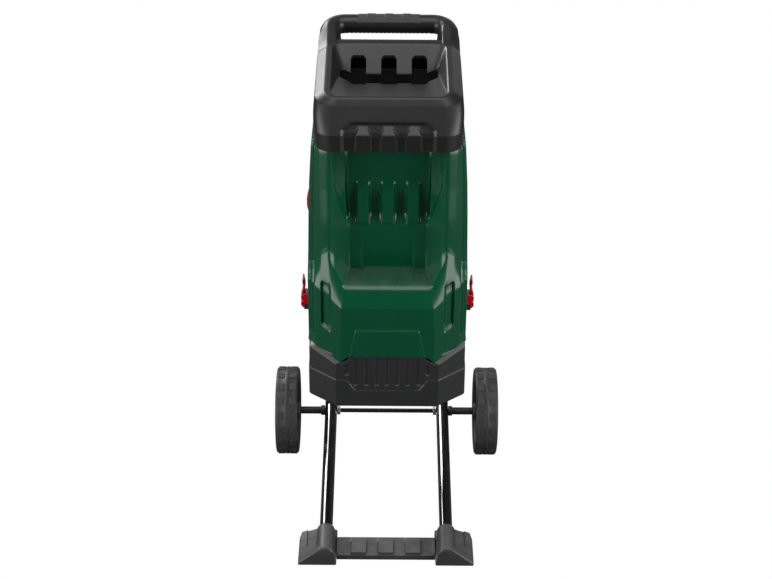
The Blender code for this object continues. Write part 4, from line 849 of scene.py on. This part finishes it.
LEVELS = [
    station_level(0, FRONT, 356, (*RIB_EDGES, 59), (62, FRONT, 354.5), (77, FRONT, 343.5),
                  (78.5, -115.5, 343.5), (91, -105, 348), (93.5, -103, 349), (105, -94, 353),
                  (107.5, -92, 354), (117, -84, 356.5), (FLANK, -62, 357)),
    station_level(12, FRONT, 395, (*RIB_EDGES, 51.5, 54.5, 76), (77.5, -115.5, 395), (91, -105, 392),
                  (93.5, -103, 392), (105, -94, 392), (107.5, -92, 392), (117, -84, 392), (FLANK, -62, 392)),
    station_level(6, FRONT, 405, (*RIB_EDGES, 48, 51, 75.5), (77, -115.5, 405), (91, -105, 404),
                  (93.5, -103, 404), (105, -94, 404), (107.5, -92, 404), (117, -84, 404), (FLANK, -62, 404)),
    station_level(16, FRONT, 445, (*RIB_EDGES, 44, 46, 73.5), (75, -115.5, 445.5), (91, -104, 454),
                  (93.5, -102, 456), (105, -93, 462), (107.5, -91, 464), (117, -84, 469), (FLANK, -62, 470)),
    station_level(14, -99, 477.5, (*RIB_EDGES, 41, 43), (70, -99, 478), (72, -98, 479), (96, -79, 521),
                  (98, -77, 524), (99, -76.6, 524), (106, -73, 519), (115, -70, 494), (FLANK, -53, 480)),
    station_level(16, -47, 482, (*RIB_EDGES, 40.5), (42, -48, 481), (61, -49, 481), (63, -50, 483),
                  (90.5, -77, 535), (92.5, -77, 537), (96, -76.2, 537), (105.5, -72, 527), (117, -62, 502),
                  (FLANK, -41, 490)),
    station_level(12, -47, 512, (*RIB_EDGES, 42, 45, 61), (63, -49, 513), (90.5, -76.5, 547),
                  (92.5, -76.5, 549), (96, -75.7, 549), (105.5, -71.6, 543), (117, -61, 528),
                  (128.8, -40, 515)),
    station_level(16, -47, 557, (*SLIM_RIB_EDGES, 48.5, 51.5, 61), (63, -49, 557), (90.5, -76, 572),
                  (92.5, -76, 572), (96, -75.3, 572), (105.5, -71.2, 572), (117.5, -59, 572),
                  (127.5, -39, 572)),
    station_level(6, -36, 576, TAPER_EDGES, (62, -37, 576), (64.5, -46, 576),
                  (90.5, -75.4, 585), (92.5, -75.4, 585), (96, -74.6, 585), (106, -69.8, 585),
                  (117.5, -58, 585), (127.2, -38, 585)),
    station_level(26, -34, 632, TAPER_EDGES, (63, -35, 632), (65.5, -42, 632),
                  (90.5, -70, 632), (92.5, -70, 632), (96, -69.4, 632), (106.5, -64.6, 632),
                  (116.5, -55, 632), (125.5, -36, 632)),
    station_level(22, -30.5, 691, TAPER_EDGES, (64, -31, 691), (66.5, -37, 691),
                  (90.5, -66, 691), (92.5, -66, 691), (96, -65.3, 691), (107.5, -60.2, 691),
                  (114.5, -52, 691), (122, -34, 691)),
]
FLANK_COLUMNS, FAR_FLANK_COLUMNS, CORNER_COLUMNS, REAR_COLUMNS = 16, 14, 6, 10
STATION = np.concatenate([np.linspace(k, k + 1, count, endpoint=False) for k, count in enumerate(
    (*COLUMNS, FLANK_COLUMNS, FAR_FLANK_COLUMNS, CORNER_COLUMNS, REAR_COLUMNS))] + [[18.0]])


def station_row(stations):
    """One half outline, middle front to middle rear, as an array of points at this level."""
    half, height = stations[-1][0], stations[-1][2]
    rear_level = height if height > 480 else PARTING + (height - 357) * 1.016
    parts = [np.linspace(stations[k], stations[k + 1], count, endpoint=False)
             for k, count in enumerate(COLUMNS)]
    mid_flank = (half, -8.0, rear_level)
    parts.append(np.linspace(stations[-1], mid_flank, FLANK_COLUMNS, endpoint=False))
    parts.append(np.linspace(mid_flank, (half, REAR - REAR_ROUND, rear_level), FAR_FLANK_COLUMNS,
                             endpoint=False))
    arc = corner_arc(half - REAR_ROUND, REAR - REAR_ROUND, REAR_ROUND, REAR_ROUND,
                     np.linspace(0, math.pi / 2, CORNER_COLUMNS, endpoint=False))
    parts.append(np.column_stack([arc, np.full(CORNER_COLUMNS, rear_level)]))
    parts.append(np.linspace((half - REAR_ROUND, REAR, rear_level), (0, REAR, rear_level), REAR_COLUMNS + 1))
    return np.concatenate(parts)


def housing_grid():
    """Rows of the half housing, with the front edge of the shelf rounded over."""
    rows = [station_row(LEVELS[0][1])]
    for count, stations in LEVELS[1:]:
        below, row = rows[-1], station_row(stations)
        rows += [below + (row - below) * (step / count) for step in range(1, count + 1)]
    grid = np.array(rows)
    shelf_edge = sum(count for count, row in LEVELS[:5])
    near = slice(shelf_edge - 2, shelf_edge + 4)
    soft = (STATION < 7.6)[None, :, None]
    for turn in range(8):
        middle = (grid[shelf_edge - 3:shelf_edge + 3] + grid[shelf_edge - 1:shelf_edge + 5]) / 2
        grid[near] = np.where(soft, middle, grid[near])
    return grid


APRON_STEP, SIDE_SLOT_DEPTH, POCKET_CUT, ALCOVE_CUT = 2.6, 6.5, 5.5, 3.0
RIB_FACE, RIB_BREAK, RIB_SLOPE = -49.0, 603, 0.44
FLUTES, FLUTE_DEPTH, FLUTE_BEND = (13.30, 13.72, 14.22), 2.0, 1.2


def carve(grid):
    """Moves the points for the raised apron, side slots, ribs, side pockets, alcove and flank flutes."""
    x, y, z = grid[..., 0], grid[..., 1], grid[..., 2]
    front_face = eased(-y, 0.0, 12.0)
    apron_half = 61.5 + (355.5 - z) * 0.205
    apron = eased(apron_half - x, -1.0, 1.0) * eased(405.5 - z, -0.5, 3.0)
    moved_y = -APRON_STEP * apron * (y < -100)
    slot = (eased(x, 90.5, 94) * eased(-x, -108, -104.5) * eased(z - (x - 91) * 0.45, 392, 396)
            * eased((x - 91) * 0.25 - z, -475, -471))
    moved_y += SIDE_SLOT_DEPTH * slot * (y < -60)
    for middle in (0.0, 40.0):
        across = eased(-abs(x - middle), -12.2, -8.4)
        rib_face = RIB_FACE + np.clip(z - RIB_BREAK, 0, None) * RIB_SLOPE
        height = np.clip(y - rib_face, 0, None)
        moved_y -= height * across * eased(z, 557, 564) * eased(-z, -640, -622) * (y > -60)
    diagonal = 562 + (x - 64) * 3.2
    pocket = eased(x, 64.5, 67.5) * eased(-x, -86, -83) * np.clip((z - diagonal) / 5, 0, 1)
    pocket = pocket * (y > -74) * (y < -33)
    moved_y += POCKET_CUT * pocket
    alcove = eased(-x, -42, -40.5) * eased(-z, -550, -484) * (y > -49) * (z > 479)
    moved_y += ALCOVE_CUT * alcove * eased(z, 481.5, 482)
    flutes = sum(eased(-abs(STATION - groove), -0.16, -0.06) for groove in FLUTES)
    flutes = flutes * eased(z, 368, 376) * (z < 700)
    grid[..., 0] = x - FLUTE_DEPTH * flutes
    moved_y += FLUTE_BEND * flutes * (STATION < 14)
    grid[..., 1] = y + moved_y * front_face
    return grid


half_housing = carve(housing_grid())
upper_edge = half_housing[-1]
closing = []
for step in range(1, 6):
    turned = step / 5 * math.pi / 2
    edge = upper_edge.copy()
    edge[:, 0] -= (1 - math.cos(turned)) * 6 * (upper_edge[:, 0] > 100)
    edge[:, 1] += (1 - math.cos(turned)) * 4 * np.where(upper_edge[:, 1] > 110, -1, upper_edge[:, 1] < -25)
    edge[:, 2] = upper_edge[:, 2] + (HOUSING_TOP - upper_edge[:, 2]) * math.sin(turned)
    closing.append(edge)
deck = closing[-1].copy()
deck[:, 0] = np.clip(deck[:, 0], 0, DECK_REACH[0])
deck[:, 1] = np.clip(deck[:, 1], DECK_REACH[1], DECK_REACH[2])
closing.append(deck)
housing_rows = whole_rows(np.concatenate([half_housing, np.array(closing)]))
housing_green = satin_moulded("housing_green", (0.0, 0.048, 0.0195), 0.26)
form = softened(shell_form(housing_rows), 0.3)
for sign in (-1, 1):
    hinge_eye(form, sign * 33.0, sign * 53.0, 1)
housing = new_piece("feed_housing", form, housing_green, "upper_housing", ["upper_shell"],
                    28.0)
shell_wall(housing, HOUSING_WALL)
switch_low, switch_high = box_mm("switch_box")
reset_low, reset_high = box_mm("reset_button")
cover_low, cover_high = box_mm("rear_cover")


def oblong(low_a, high_a, low_b, high_b, room):
    """A rectangle with room all round."""
    return [(low_a - room, low_b - room), (high_a + room, low_b - room), (high_a + room, high_b + room),
            (low_a - room, high_b + room)]


reset_spot = (reset_low + reset_high) / 2
service_way = oblong(cover_low.x, cover_high.x, cover_low.z, cover_high.z, -8)
switch_way = oblong(switch_low.y, switch_high.y, switch_low.z, switch_high.z, 0.3)
reset_way = [(reset_spot.y + a, reset_spot.z + b) for a, b in disc_points(6.3, 20)]
cut_away(housing, [cutter("service_way", service_way, "y", REAR - 20, REAR + 5),
                   cutter("switch_way", switch_way, "x", switch_low.x - 12, switch_low.x + 20),
                   cutter("reset_way", reset_way, "x", reset_low.x - 12, reset_low.x + 20)])


# ---- Hopper ------------------------------------------------------------------------------------
# A charcoal moulding with a skirt, a ribbed recess in its front panel and a funnel dish that leads to
# one long slot and three short ones.  It stands on the housing's top plate and is screwed from below.
RIM_FRONT = (-52.0, 781.0)
RIM_REAR = (128.5, 807.0)
SKIRT_TOP = 733.0
HOPPER_WALL = 3.2
RECESS_DEPTH = 5.2
DISH_HALF, DISH_FRONT, DISH_REAR, DISH_LOW = 79.0, 39.0, 80.0, 768.0
PANEL_ROWS = 30
TWIG_SLOTS, TWIG_HALF, TWIG_FRONT, TWIG_REAR, TWIG_CORNER = (-49.0, 0.0, 49.0), 12.5, 31.5, 101.0, 4


def rim_rise(y):
    """Height of the hopper's rim, which climbs towards the rear."""
    return RIM_FRONT[1] + (y - RIM_FRONT[0]) * (RIM_REAR[1] - RIM_FRONT[1]) / (RIM_REAR[0] - RIM_FRONT[0])


def half_round_rectangle(half, front, rear, corner, height):
    """Half a rounded rectangle from the middle of its front to the middle of its rear."""
    spot_x, spot_y, rear_y = half - corner, front + corner, rear - corner
    plan = np.concatenate([
        np.linspace((0, front), (spot_x, front), 52, endpoint=False),
        corner_arc(spot_x, spot_y, corner, corner, np.linspace(-math.pi / 2, 0, 15)[:-1]),
        np.linspace((half, spot_y), (half, rear_y), 18, endpoint=False),
        corner_arc(spot_x, rear_y, corner, corner, np.linspace(0, math.pi / 2, 11)[:-1]),
        np.linspace((spot_x, rear), (0, rear), 16)])
    return np.column_stack([plan, height(plan[:, 0], plan[:, 1])])


def flat(z):
    return lambda x, y: np.full(len(x), z)


def slot_lip(x, y):
    """Height of the lip round the long slot, which rises towards the slot's two ends."""
    return DISH_LOW + 9.0 * eased(abs(x), 52, 80)


hopper_levels = [
    (0, half_round_rectangle(111, -82, 124, 30, flat(HOPPER_FOOT + 2.5))),
    (1, half_round_rectangle(113.2, -84.2, 125.4, 31.5, flat(HOPPER_FOOT + 0.2))),
    (1, half_round_rectangle(114, -85, 126, 32, flat(HOPPER_FOOT + 1.0))),
    (14, half_round_rectangle(116.4, -85, 127.6, 33, flat(SKIRT_TOP - 0.8))),
    (1, half_round_rectangle(116.2, -84.2, 127.4, 33, flat(SKIRT_TOP + 0.4))),
    (PANEL_ROWS, half_round_rectangle(114.5, -58.5, 128.4, 31, lambda x, y: rim_rise(y) - 9)),
    (5, half_round_rectangle(101.5, -51.5, 128.4, 25, lambda x, y: rim_rise(y) - 0.8)),
    (1, half_round_rectangle(100, -50.3, 127.6, 24, lambda x, y: rim_rise(y) - 0.1)),
    (2, half_round_rectangle(92.5, -46.0, 116.5, 17, lambda x, y: rim_rise(y))),
    (2, half_round_rectangle(90.5, -44.5, 113.5, 15, lambda x, y: rim_rise(y) - 1.6)),
    (18, half_round_rectangle(DISH_HALF, DISH_FRONT, DISH_REAR, 9, slot_lip)),
    (1, half_round_rectangle(DISH_HALF - 1, DISH_FRONT + 1, DISH_REAR - 1, 8,
                             lambda x, y: slot_lip(x, y) - 1.5)),
]
hopper_rows = [hopper_levels[0][1]]
for count, row in hopper_levels[1:]:
    below = hopper_rows[-1]
    for step in range(1, count + 1):
        share = step / count
        mixed = below + (row - below) * share
        if count == PANEL_ROWS:
            swell = 4 * share * (1 - share) * eased(abs(mixed[:, 0]), 92, 114)
            mixed[:, 0] += swell * 1.5
            mixed[:, 2] += swell * 3.0
        hopper_rows.append(mixed)
hopper_half = np.array(hopper_rows)
x, y, z = hopper_half[..., 0], hopper_half[..., 1], hopper_half[..., 2]
recess_half = 71.0 - np.clip(z - 740.0, 0, None) * 1.55
recess = eased(recess_half - x, -3.4, 3.4) * eased(749.5 - z, -0.6, 1.8) * (y < -40)
rib_half = 11.8 - np.clip(z - SKIRT_TOP, 0, 9) * 0.48
ribs = sum(eased(rib_half - abs(x - middle), -1.6, 1.2) for middle in (0.0, 39.5))
ribs = ribs * np.clip((746.0 - z) / 12.0, 0, 1)
lean = np.where(z > SKIRT_TOP, 1.0, 0.0)
depth = RECESS_DEPTH * recess * (1 - 0.86 * np.clip(ribs, 0, 1)) * (y < -40)
hopper_half[..., 1] += depth * (1 - 0.25 * lean)
hopper_half[..., 2] -= depth * 0.45 * lean
form = softened(shell_form(whole_rows(hopper_half)), 0.22)
hopper_charcoal = moulded("hopper_charcoal", (0.0085, 0.0087, 0.0093), 0.36)
hopper = new_piece("hopper_body", form, hopper_charcoal, "upper_housing", ["hopper"],
                   24.0)
shell_wall(hopper, HOPPER_WALL)
twig_outline = [(-TWIG_HALF, TWIG_FRONT), (TWIG_HALF, TWIG_FRONT), (TWIG_HALF, TWIG_REAR - TWIG_CORNER),
                (TWIG_HALF - TWIG_CORNER, TWIG_REAR), (TWIG_CORNER - TWIG_HALF, TWIG_REAR),
                (-TWIG_HALF, TWIG_REAR - TWIG_CORNER)]
cut_away(hopper, [cutter(f"twig_slot_{number}", [(middle + a, b) for a, b in twig_outline], "z", 755, 830)
                  for number, middle in enumerate(TWIG_SLOTS, 1)])


# ---- Rear handle -------------------------------------------------------------------------------
# The hopper's moulding runs on behind it as two broad arms and a round bar, with finger ribs moulded
# under the bar.
BAR_Y, BAR_Z, BAR_RADIUS = 180.5, 813.0, 15.5
ARM_X, ARM_BEND = 96.0, 25.0
ARM_START_Y = 94.0
ARM_DROP = 15.8
FINGER_PITCH, FINGER_DEPTH, FINGER_REACH = 6.8, 0.9, 68
ARM_SECTION = [(18.5, -12.0), (18.5, 6.3), (5.0, 14.7), (3.6, 15.4), (-9.0, 15.4), (-10.5, 14.6),
               (-21.0, -9.0), (-20.0, -13.0), (-17.0, -14.8), (15.0, -14.8)]


def reach_in(section, angle):
    """Distance from the middle of a convex section to its outline in one direction."""
    c, s = math.cos(angle), math.sin(angle)
    for index, (ax, az) in enumerate(section):
        bx, bz = section[(index + 1) % len(section)]
        across = c * (bz - az) - s * (bx - ax)
        if abs(across) > 1e-9:
            far = (ax * (bz - az) - az * (bx - ax)) / across
            along = (s * ax - c * az) / across
            if far > 0 and -1e-6 <= along <= 1.000001:
                return far
    return BAR_RADIUS


def handle_line():
    """Centre line of half the handle, with how far its section has become round at each point."""
    line = []
    for step in range(22):
        y = ARM_START_Y + (BAR_Y - ARM_BEND - ARM_START_Y) * step / 22
        line.append((ARM_X, y, float(eased(y, 128, 176))))
    for step in range(21):
        turn = math.pi / 2 * step / 20
        y = BAR_Y - ARM_BEND + ARM_BEND * math.sin(turn)
        line.append((ARM_X - ARM_BEND + ARM_BEND * math.cos(turn), y, float(eased(y + turn * 5, 128, 182))))
    for step in range(1, 46):
        line.append(((ARM_X - ARM_BEND) * (1 - step / 45), BAR_Y, 1.0))
    last_climb = BAR_Z - (rim_rise(BAR_Y) - ARM_DROP)
    rise = []
    for x, y, share in line:
        climb = min(float(eased(y, 104, 186)) * 1.16, 1.0)
        rise.append((Vector((x, y, rim_rise(y) - ARM_DROP + last_climb * climb)), share))
    return rise


half_line = handle_line()
mirrored_line = [(Vector((-point.x, point.y, point.z)), share) for point, share in half_line[-2::-1]]
whole_line = half_line + mirrored_line
ring_angles = [math.tau * step / 60 for step in range(60)]
arm_reach = [reach_in(ARM_SECTION, angle) for angle in ring_angles]
rings = []
for index, (point, share) in enumerate(whole_line):
    before, after = whole_line[max(index - 1, 0)][0], whole_line[min(index + 1, len(whole_line) - 1)][0]
    heading = (after - before).normalized()
    across = heading.cross(Vector((0, 0, 1))).normalized()
    lift = across.cross(heading).normalized()
    ring = []
    for angle, far in zip(ring_angles, arm_reach):
        c, s = math.cos(angle), math.sin(angle)
        reach = far * (1 - share) + BAR_RADIUS * share
        if c < 0:
            reach *= 1 + c * 0.75 * (1 - float(eased(point.y, 102, 119)))
        if abs(point.x) < FINGER_REACH and s < -0.3:
            ripple = 0.5 - 0.5 * math.cos(math.tau * (point.x + FINGER_REACH) / FINGER_PITCH)
            reach += FINGER_DEPTH * ripple * s
        ring.append((point + across * c * reach + lift * s * reach) * MM)
    rings.append(ring)
form = bmesh.new()
skin(form, rings)
new_piece("rear_handle", outward(form), hopper_charcoal, "upper_housing", [], 26.0)


# ---- Handle grip -------------------------------------------------------------------------------
# Soft rubber saddle bonded into the top of the bar: eight-sided in outline, 101 mm long, with three
# round-ended thumb pads standing a little proud of it.
GRIP_ARC = 40.0
GRIP_HALF = 50.5
GRIP_REAR = math.radians(12.0)
GRIP_PROUD = 0.8
PAD_MIDDLES, PAD_RADIUS, PAD_END = (-29.0, 0.0, 29.0), 7.2, 27


def grip_height(x, down):
    """Height of the grip's face over the bar, at x along it and a distance down from its rear edge."""
    from_end, from_front = GRIP_HALF - abs(x), GRIP_ARC - down
    limit = min(from_end, from_front, down, (from_end + from_front) / 1.42 - 5.0)
    height = GRIP_PROUD * eased(limit, 0.0, 0.9)
    for middle in PAD_MIDDLES:
        reach = PAD_RADIUS - math.hypot(x - middle, max(down - PAD_END, 0))
        height += GRIP_PROUD * eased(reach, 0.0, 0.8)
    return height


soft_grip = moulded("grip_rubber", (0.022, 0.0223, 0.0235), 0.62, 2400.0, 0.10)
form = bmesh.new()
rows = []
for step in range(96):
    x = -GRIP_HALF + 2 * GRIP_HALF * step / 95
    row = []
    for turn in range(48):
        down = GRIP_ARC * turn / 47
        angle = GRIP_REAR + down / (BAR_RADIUS + 0.5)
        radius = BAR_RADIUS + 0.1 + float(grip_height(x, down))
        spot = Vector((x, BAR_Y + radius * math.cos(angle), BAR_Z + radius * math.sin(angle)))
        row.append(form.verts.new(spot * MM))
    rows.append(row)
for low, high in zip(rows, rows[1:]):
    for index in range(len(low) - 1):
        form.faces.new((low[index], high[index], high[index + 1], low[index + 1]))
bmesh.ops.recalc_face_normals(form, faces=form.faces)
grip = new_piece("grip_saddle", form, soft_grip, "upper_housing", ["handle_grip"], 30.0)
backing = grip.modifiers.new("backing", "SOLIDIFY")
backing.thickness = 1.2 * MM
backing.offset = -1.0


# ---- Latches -----------------------------------------------------------------------------------
# Red acetal cam levers that clamp the two housings together: a notched block on the bracket's pin with
# a thin springy finger tab rising from it.
def smooth_line(points, count):
    """An even curve through a few control points, as a list of (a, b) pairs."""
    line = []
    for k in range(len(points) - 1):
        p0, p1 = points[max(k - 1, 0)], points[k]
        p2, p3 = points[k + 1], points[min(k + 2, len(points) - 1)]
        for step in range(count):
            t = step / count
            line.append(tuple(0.5 * (2 * b + (c - a) * t + (2 * a - 5 * b + 4 * c - d) * t * t
                                     + (3 * b - a - 3 * c + d) * t ** 3)
                              for a, b, c, d in zip(p0, p1, p2, p3)))
    return line + [points[-1]]


def pressed(form, outline, near, far, edge):
    """A slab along Y with softly rounded rims; outline is a list of (x, z) pairs in millimetres."""
    middle = (sum(p[0] for p in outline) / len(outline), sum(p[1] for p in outline) / len(outline))
    rings = []
    for y, share in ((near, 1.0), (near + edge * 0.4, 0.4), (near + edge, 0.0), (far - edge, 0.0),
                     (far - edge * 0.4, 0.4), (far, 1.0)):
        ring = []
        for index, spot in enumerate(outline):
            before, after = outline[index - 1], outline[(index + 1) % len(outline)]
            along = Vector((after[0] - before[0], after[1] - before[1])).normalized()
            inward = Vector((-along.y, along.x))
            if inward.dot(Vector((middle[0] - spot[0], middle[1] - spot[1]))) < 0:
                inward = -inward
            inset = inward * edge * share
            ring.append(Vector((spot[0] + inset.x, y, spot[1] + inset.y)) * MM)
        rings.append(ring)
    skin(form, rings)


red_plastic = satin_moulded("latch_red", (0.36, 0.002, 0.010), 0.30)
for side, sign in (("left", -1), ("right", 1)):
    low, high = box_mm(side + "_latch")
    pivot_x = min(low.x, high.x, key=abs) + sign * 8.0
    pivot_z = low.z + 5.0
    block = [(-5.2, -4), (-3, -6), (2, -6), (6.5, -2.5), (9.2, 0.5), (9.6, 4), (9.4, 7.6), (6.0, 11.0),
             (9.4, 13.2), (9.4, 18), (8.2, 21.6), (3.4, 23.6), (-4.0, 23.8), (-7.0, 22.6), (-7.0, 17.0),
             (-5.2, 15.0)]
    tab = smooth_line([(8.2, 18.0), (7.6, 24.0), (5.8, 30.0), (4.8, 36.0), (5.2, 42.0), (6.4, 48.0),
                       (6.2, 52.6)], 4)
    tab_back = smooth_line([(3.6, 52.4), (3.2, 48.0), (2.2, 42.0), (1.6, 36.0), (2.4, 30.0), (4.0, 24.5),
                            (4.0, 18.0)], 4)
    form = bmesh.new()
    for outline, narrower, edge in ((block, 0.0, 1.0), (tab + tab_back, 0.8, 0.6)):
        pressed(form, [(pivot_x + sign * x, pivot_z + z) for x, z in outline], low.y + narrower,
                high.y - narrower, edge)
    new_piece(side + "_latch_lever", outward(form), red_plastic, side + "_lever",
              [side + "_latch"], 30.0)


# ---- Switch and reset button -------------------------------------------------------------------
# A red lens-shaped rocker in a charcoal frame on the left flank, and beside it the thermal cut-out's
# round button.
def rounded_corners(half_a, half_b, corner, count):
    """A rounded rectangle round its own middle, as (a, b) pairs, with count points to a corner."""
    spots = []
    for quarter, (turn_a, turn_b) in enumerate(((1, 1), (-1, 1), (-1, -1), (1, -1))):
        for step in range(count):
            angle = math.pi / 2 * (quarter + step / (count - 1))
            spots.append((turn_a * (half_a - corner) + corner * math.cos(angle),
                          turn_b * (half_b - corner) + corner * math.sin(angle)))
    return spots


FRAME_CORNER = 2.4
rocker_low, rocker_high = box_mm("switch_rocker")
switch_middle, switch_half = (switch_low + switch_high) / 2, (switch_high - switch_low) / 2
frame_face = switch_low.x
form = bmesh.new()
rings = []
for depth, inset in ((frame_face + 24, 0.0), (frame_face + 0.9, 0.0), (frame_face + 0.2, 0.4),
                     (frame_face, 1.2), (frame_face, 1.6), (frame_face + 0.8, 2.0), (frame_face + 14.5, 2.0)):
    plan = rounded_corners(switch_half.y - inset, switch_half.z - inset, FRAME_CORNER - inset, 6)
    rings.append([Vector((depth, switch_middle.y + a, switch_middle.z + b)) * MM for a, b in plan])
skin(form, rings)
new_piece("switch_frame", outward(form), base_plastic, "upper_housing",
          ["switch_box"], 30.0)

form = bmesh.new()
rings = []
rocker_middle, rocker_half = (rocker_low + rocker_high) / 2, (rocker_high - rocker_low) / 2
rocker_back = rocker_high.x - 1.0
lens_steps = 28
for step in range(lens_steps + 1):
    share = -1 + 2 * step / lens_steps
    bulge = 3.6 * (1 - share * share) - 1.3 * math.exp(-(share / 0.055) ** 2)
    rise = rocker_half.z * share
    ring = []
    for across in (-1.0, -0.96, -0.85, -0.5, 0.0, 0.5, 0.85, 0.96, 1.0):
        fall = 0.8 * abs(across) ** 6
        ring.append((rocker_low.x + 2.6 - bulge + fall, rocker_half.y * across,
                     rise * (1 - 0.01 * abs(across))))
    ring += [(rocker_back, rocker_half.y, rise * 0.9), (rocker_back, -rocker_half.y, rise * 0.9)]
    rings.append([Vector((x, rocker_middle.y + y, rocker_middle.z + z)) * MM for x, y, z in ring])
skin(form, rings)
lens_red = satin_moulded("rocker_red", (0.42, 0.004, 0.016), 0.22)
new_piece("rocker_lens", outward(form), lens_red, "rocker", ["switch_rocker"], 40.0)

button_radius = (reset_high.y - reset_low.y) / 2
form = bmesh.new()
skin(form, [[Vector((depth, reset_spot.y + a, reset_spot.z + b)) * MM
             for a, b in disc_points(button_radius - inset, 32)]
            for depth, inset in (
                (reset_high.x, 0.0), (reset_low.x + 1.5, 0.0), (reset_low.x + 0.6, 0.3),
                (reset_low.x + 0.1, 1.0), (reset_low.x, 1.9), (reset_low.x + 0.4, 3.2))])
button_black = satin_moulded("button_black", (0.010, 0.010, 0.011), 0.3)
new_piece("reset_cap", outward(form), button_black, "reset", ["reset_button"], 30.0)


# ---- Rear cover --------------------------------------------------------------------------------
# Screwed charcoal cover over the wiring behind the housing: a framed plate with cooling louvres round
# the mains inlet.
LOUVRES, LOUVRE_HALF, LOUVRE_PITCH, LOUVRE_GAP = 9, 38, 8.2, 3.4
COVER_CORNER = 8.0
inlet_low, inlet_high = box_mm("mains_inlet")
cover_middle, cover_half = (cover_low + cover_high) / 2, (cover_high - cover_low) / 2
form = bmesh.new()
rings = []
for depth, inset in ((cover_low.y, 0.0), (cover_low.y + 2.0, 0.0), (cover_low.y + 2.7, 0.3),
                     (cover_high.y, 1.0), (cover_high.y, 5.0), (cover_high.y - 0.8, 5.8)):
    corner = COVER_CORNER - min(inset, 5.0) * 0.5
    plan = rounded_corners(cover_half.x - inset, cover_half.z - inset, corner, 8)
    rings.append([Vector((a, depth, cover_middle.z + b)) * MM for a, b in plan])
skin(form, rings)
cover = new_piece("wiring_cover", outward(form), base_plastic, "upper_housing",
                  ["rear_cover"], 30.0)
inlet_way = oblong(-17.5, 17.5, inlet_low.z, inlet_high.z, 0.3)
cover_cuts = [cutter("inlet_way", inlet_way, "y", cover_low.y - 4, cover_high.y + 4)]
for number in range(1, LOUVRES + 1):
    louvre_z = cover_high.z - 22 - (number - 1) * LOUVRE_PITCH
    louvre = oblong(-LOUVRE_HALF, LOUVRE_HALF, louvre_z, louvre_z + LOUVRE_GAP, 0)
    cover_cuts.append(cutter(f"louvre_{number}", louvre, "y", cover_high.y - 2.0, cover_high.y + 4))
for number, spot_x in enumerate((cover_low.x + 4.5, cover_high.x - 4.5), 1):
    screw_way = [(spot_x + a, cover_middle.z + b) for a, b in disc_points(2.4, 20)]
    cover_cuts.append(cutter(f"screw_way_{number}", screw_way, "y", cover_low.y - 4, cover_high.y + 4))
cut_away(cover, cover_cuts)
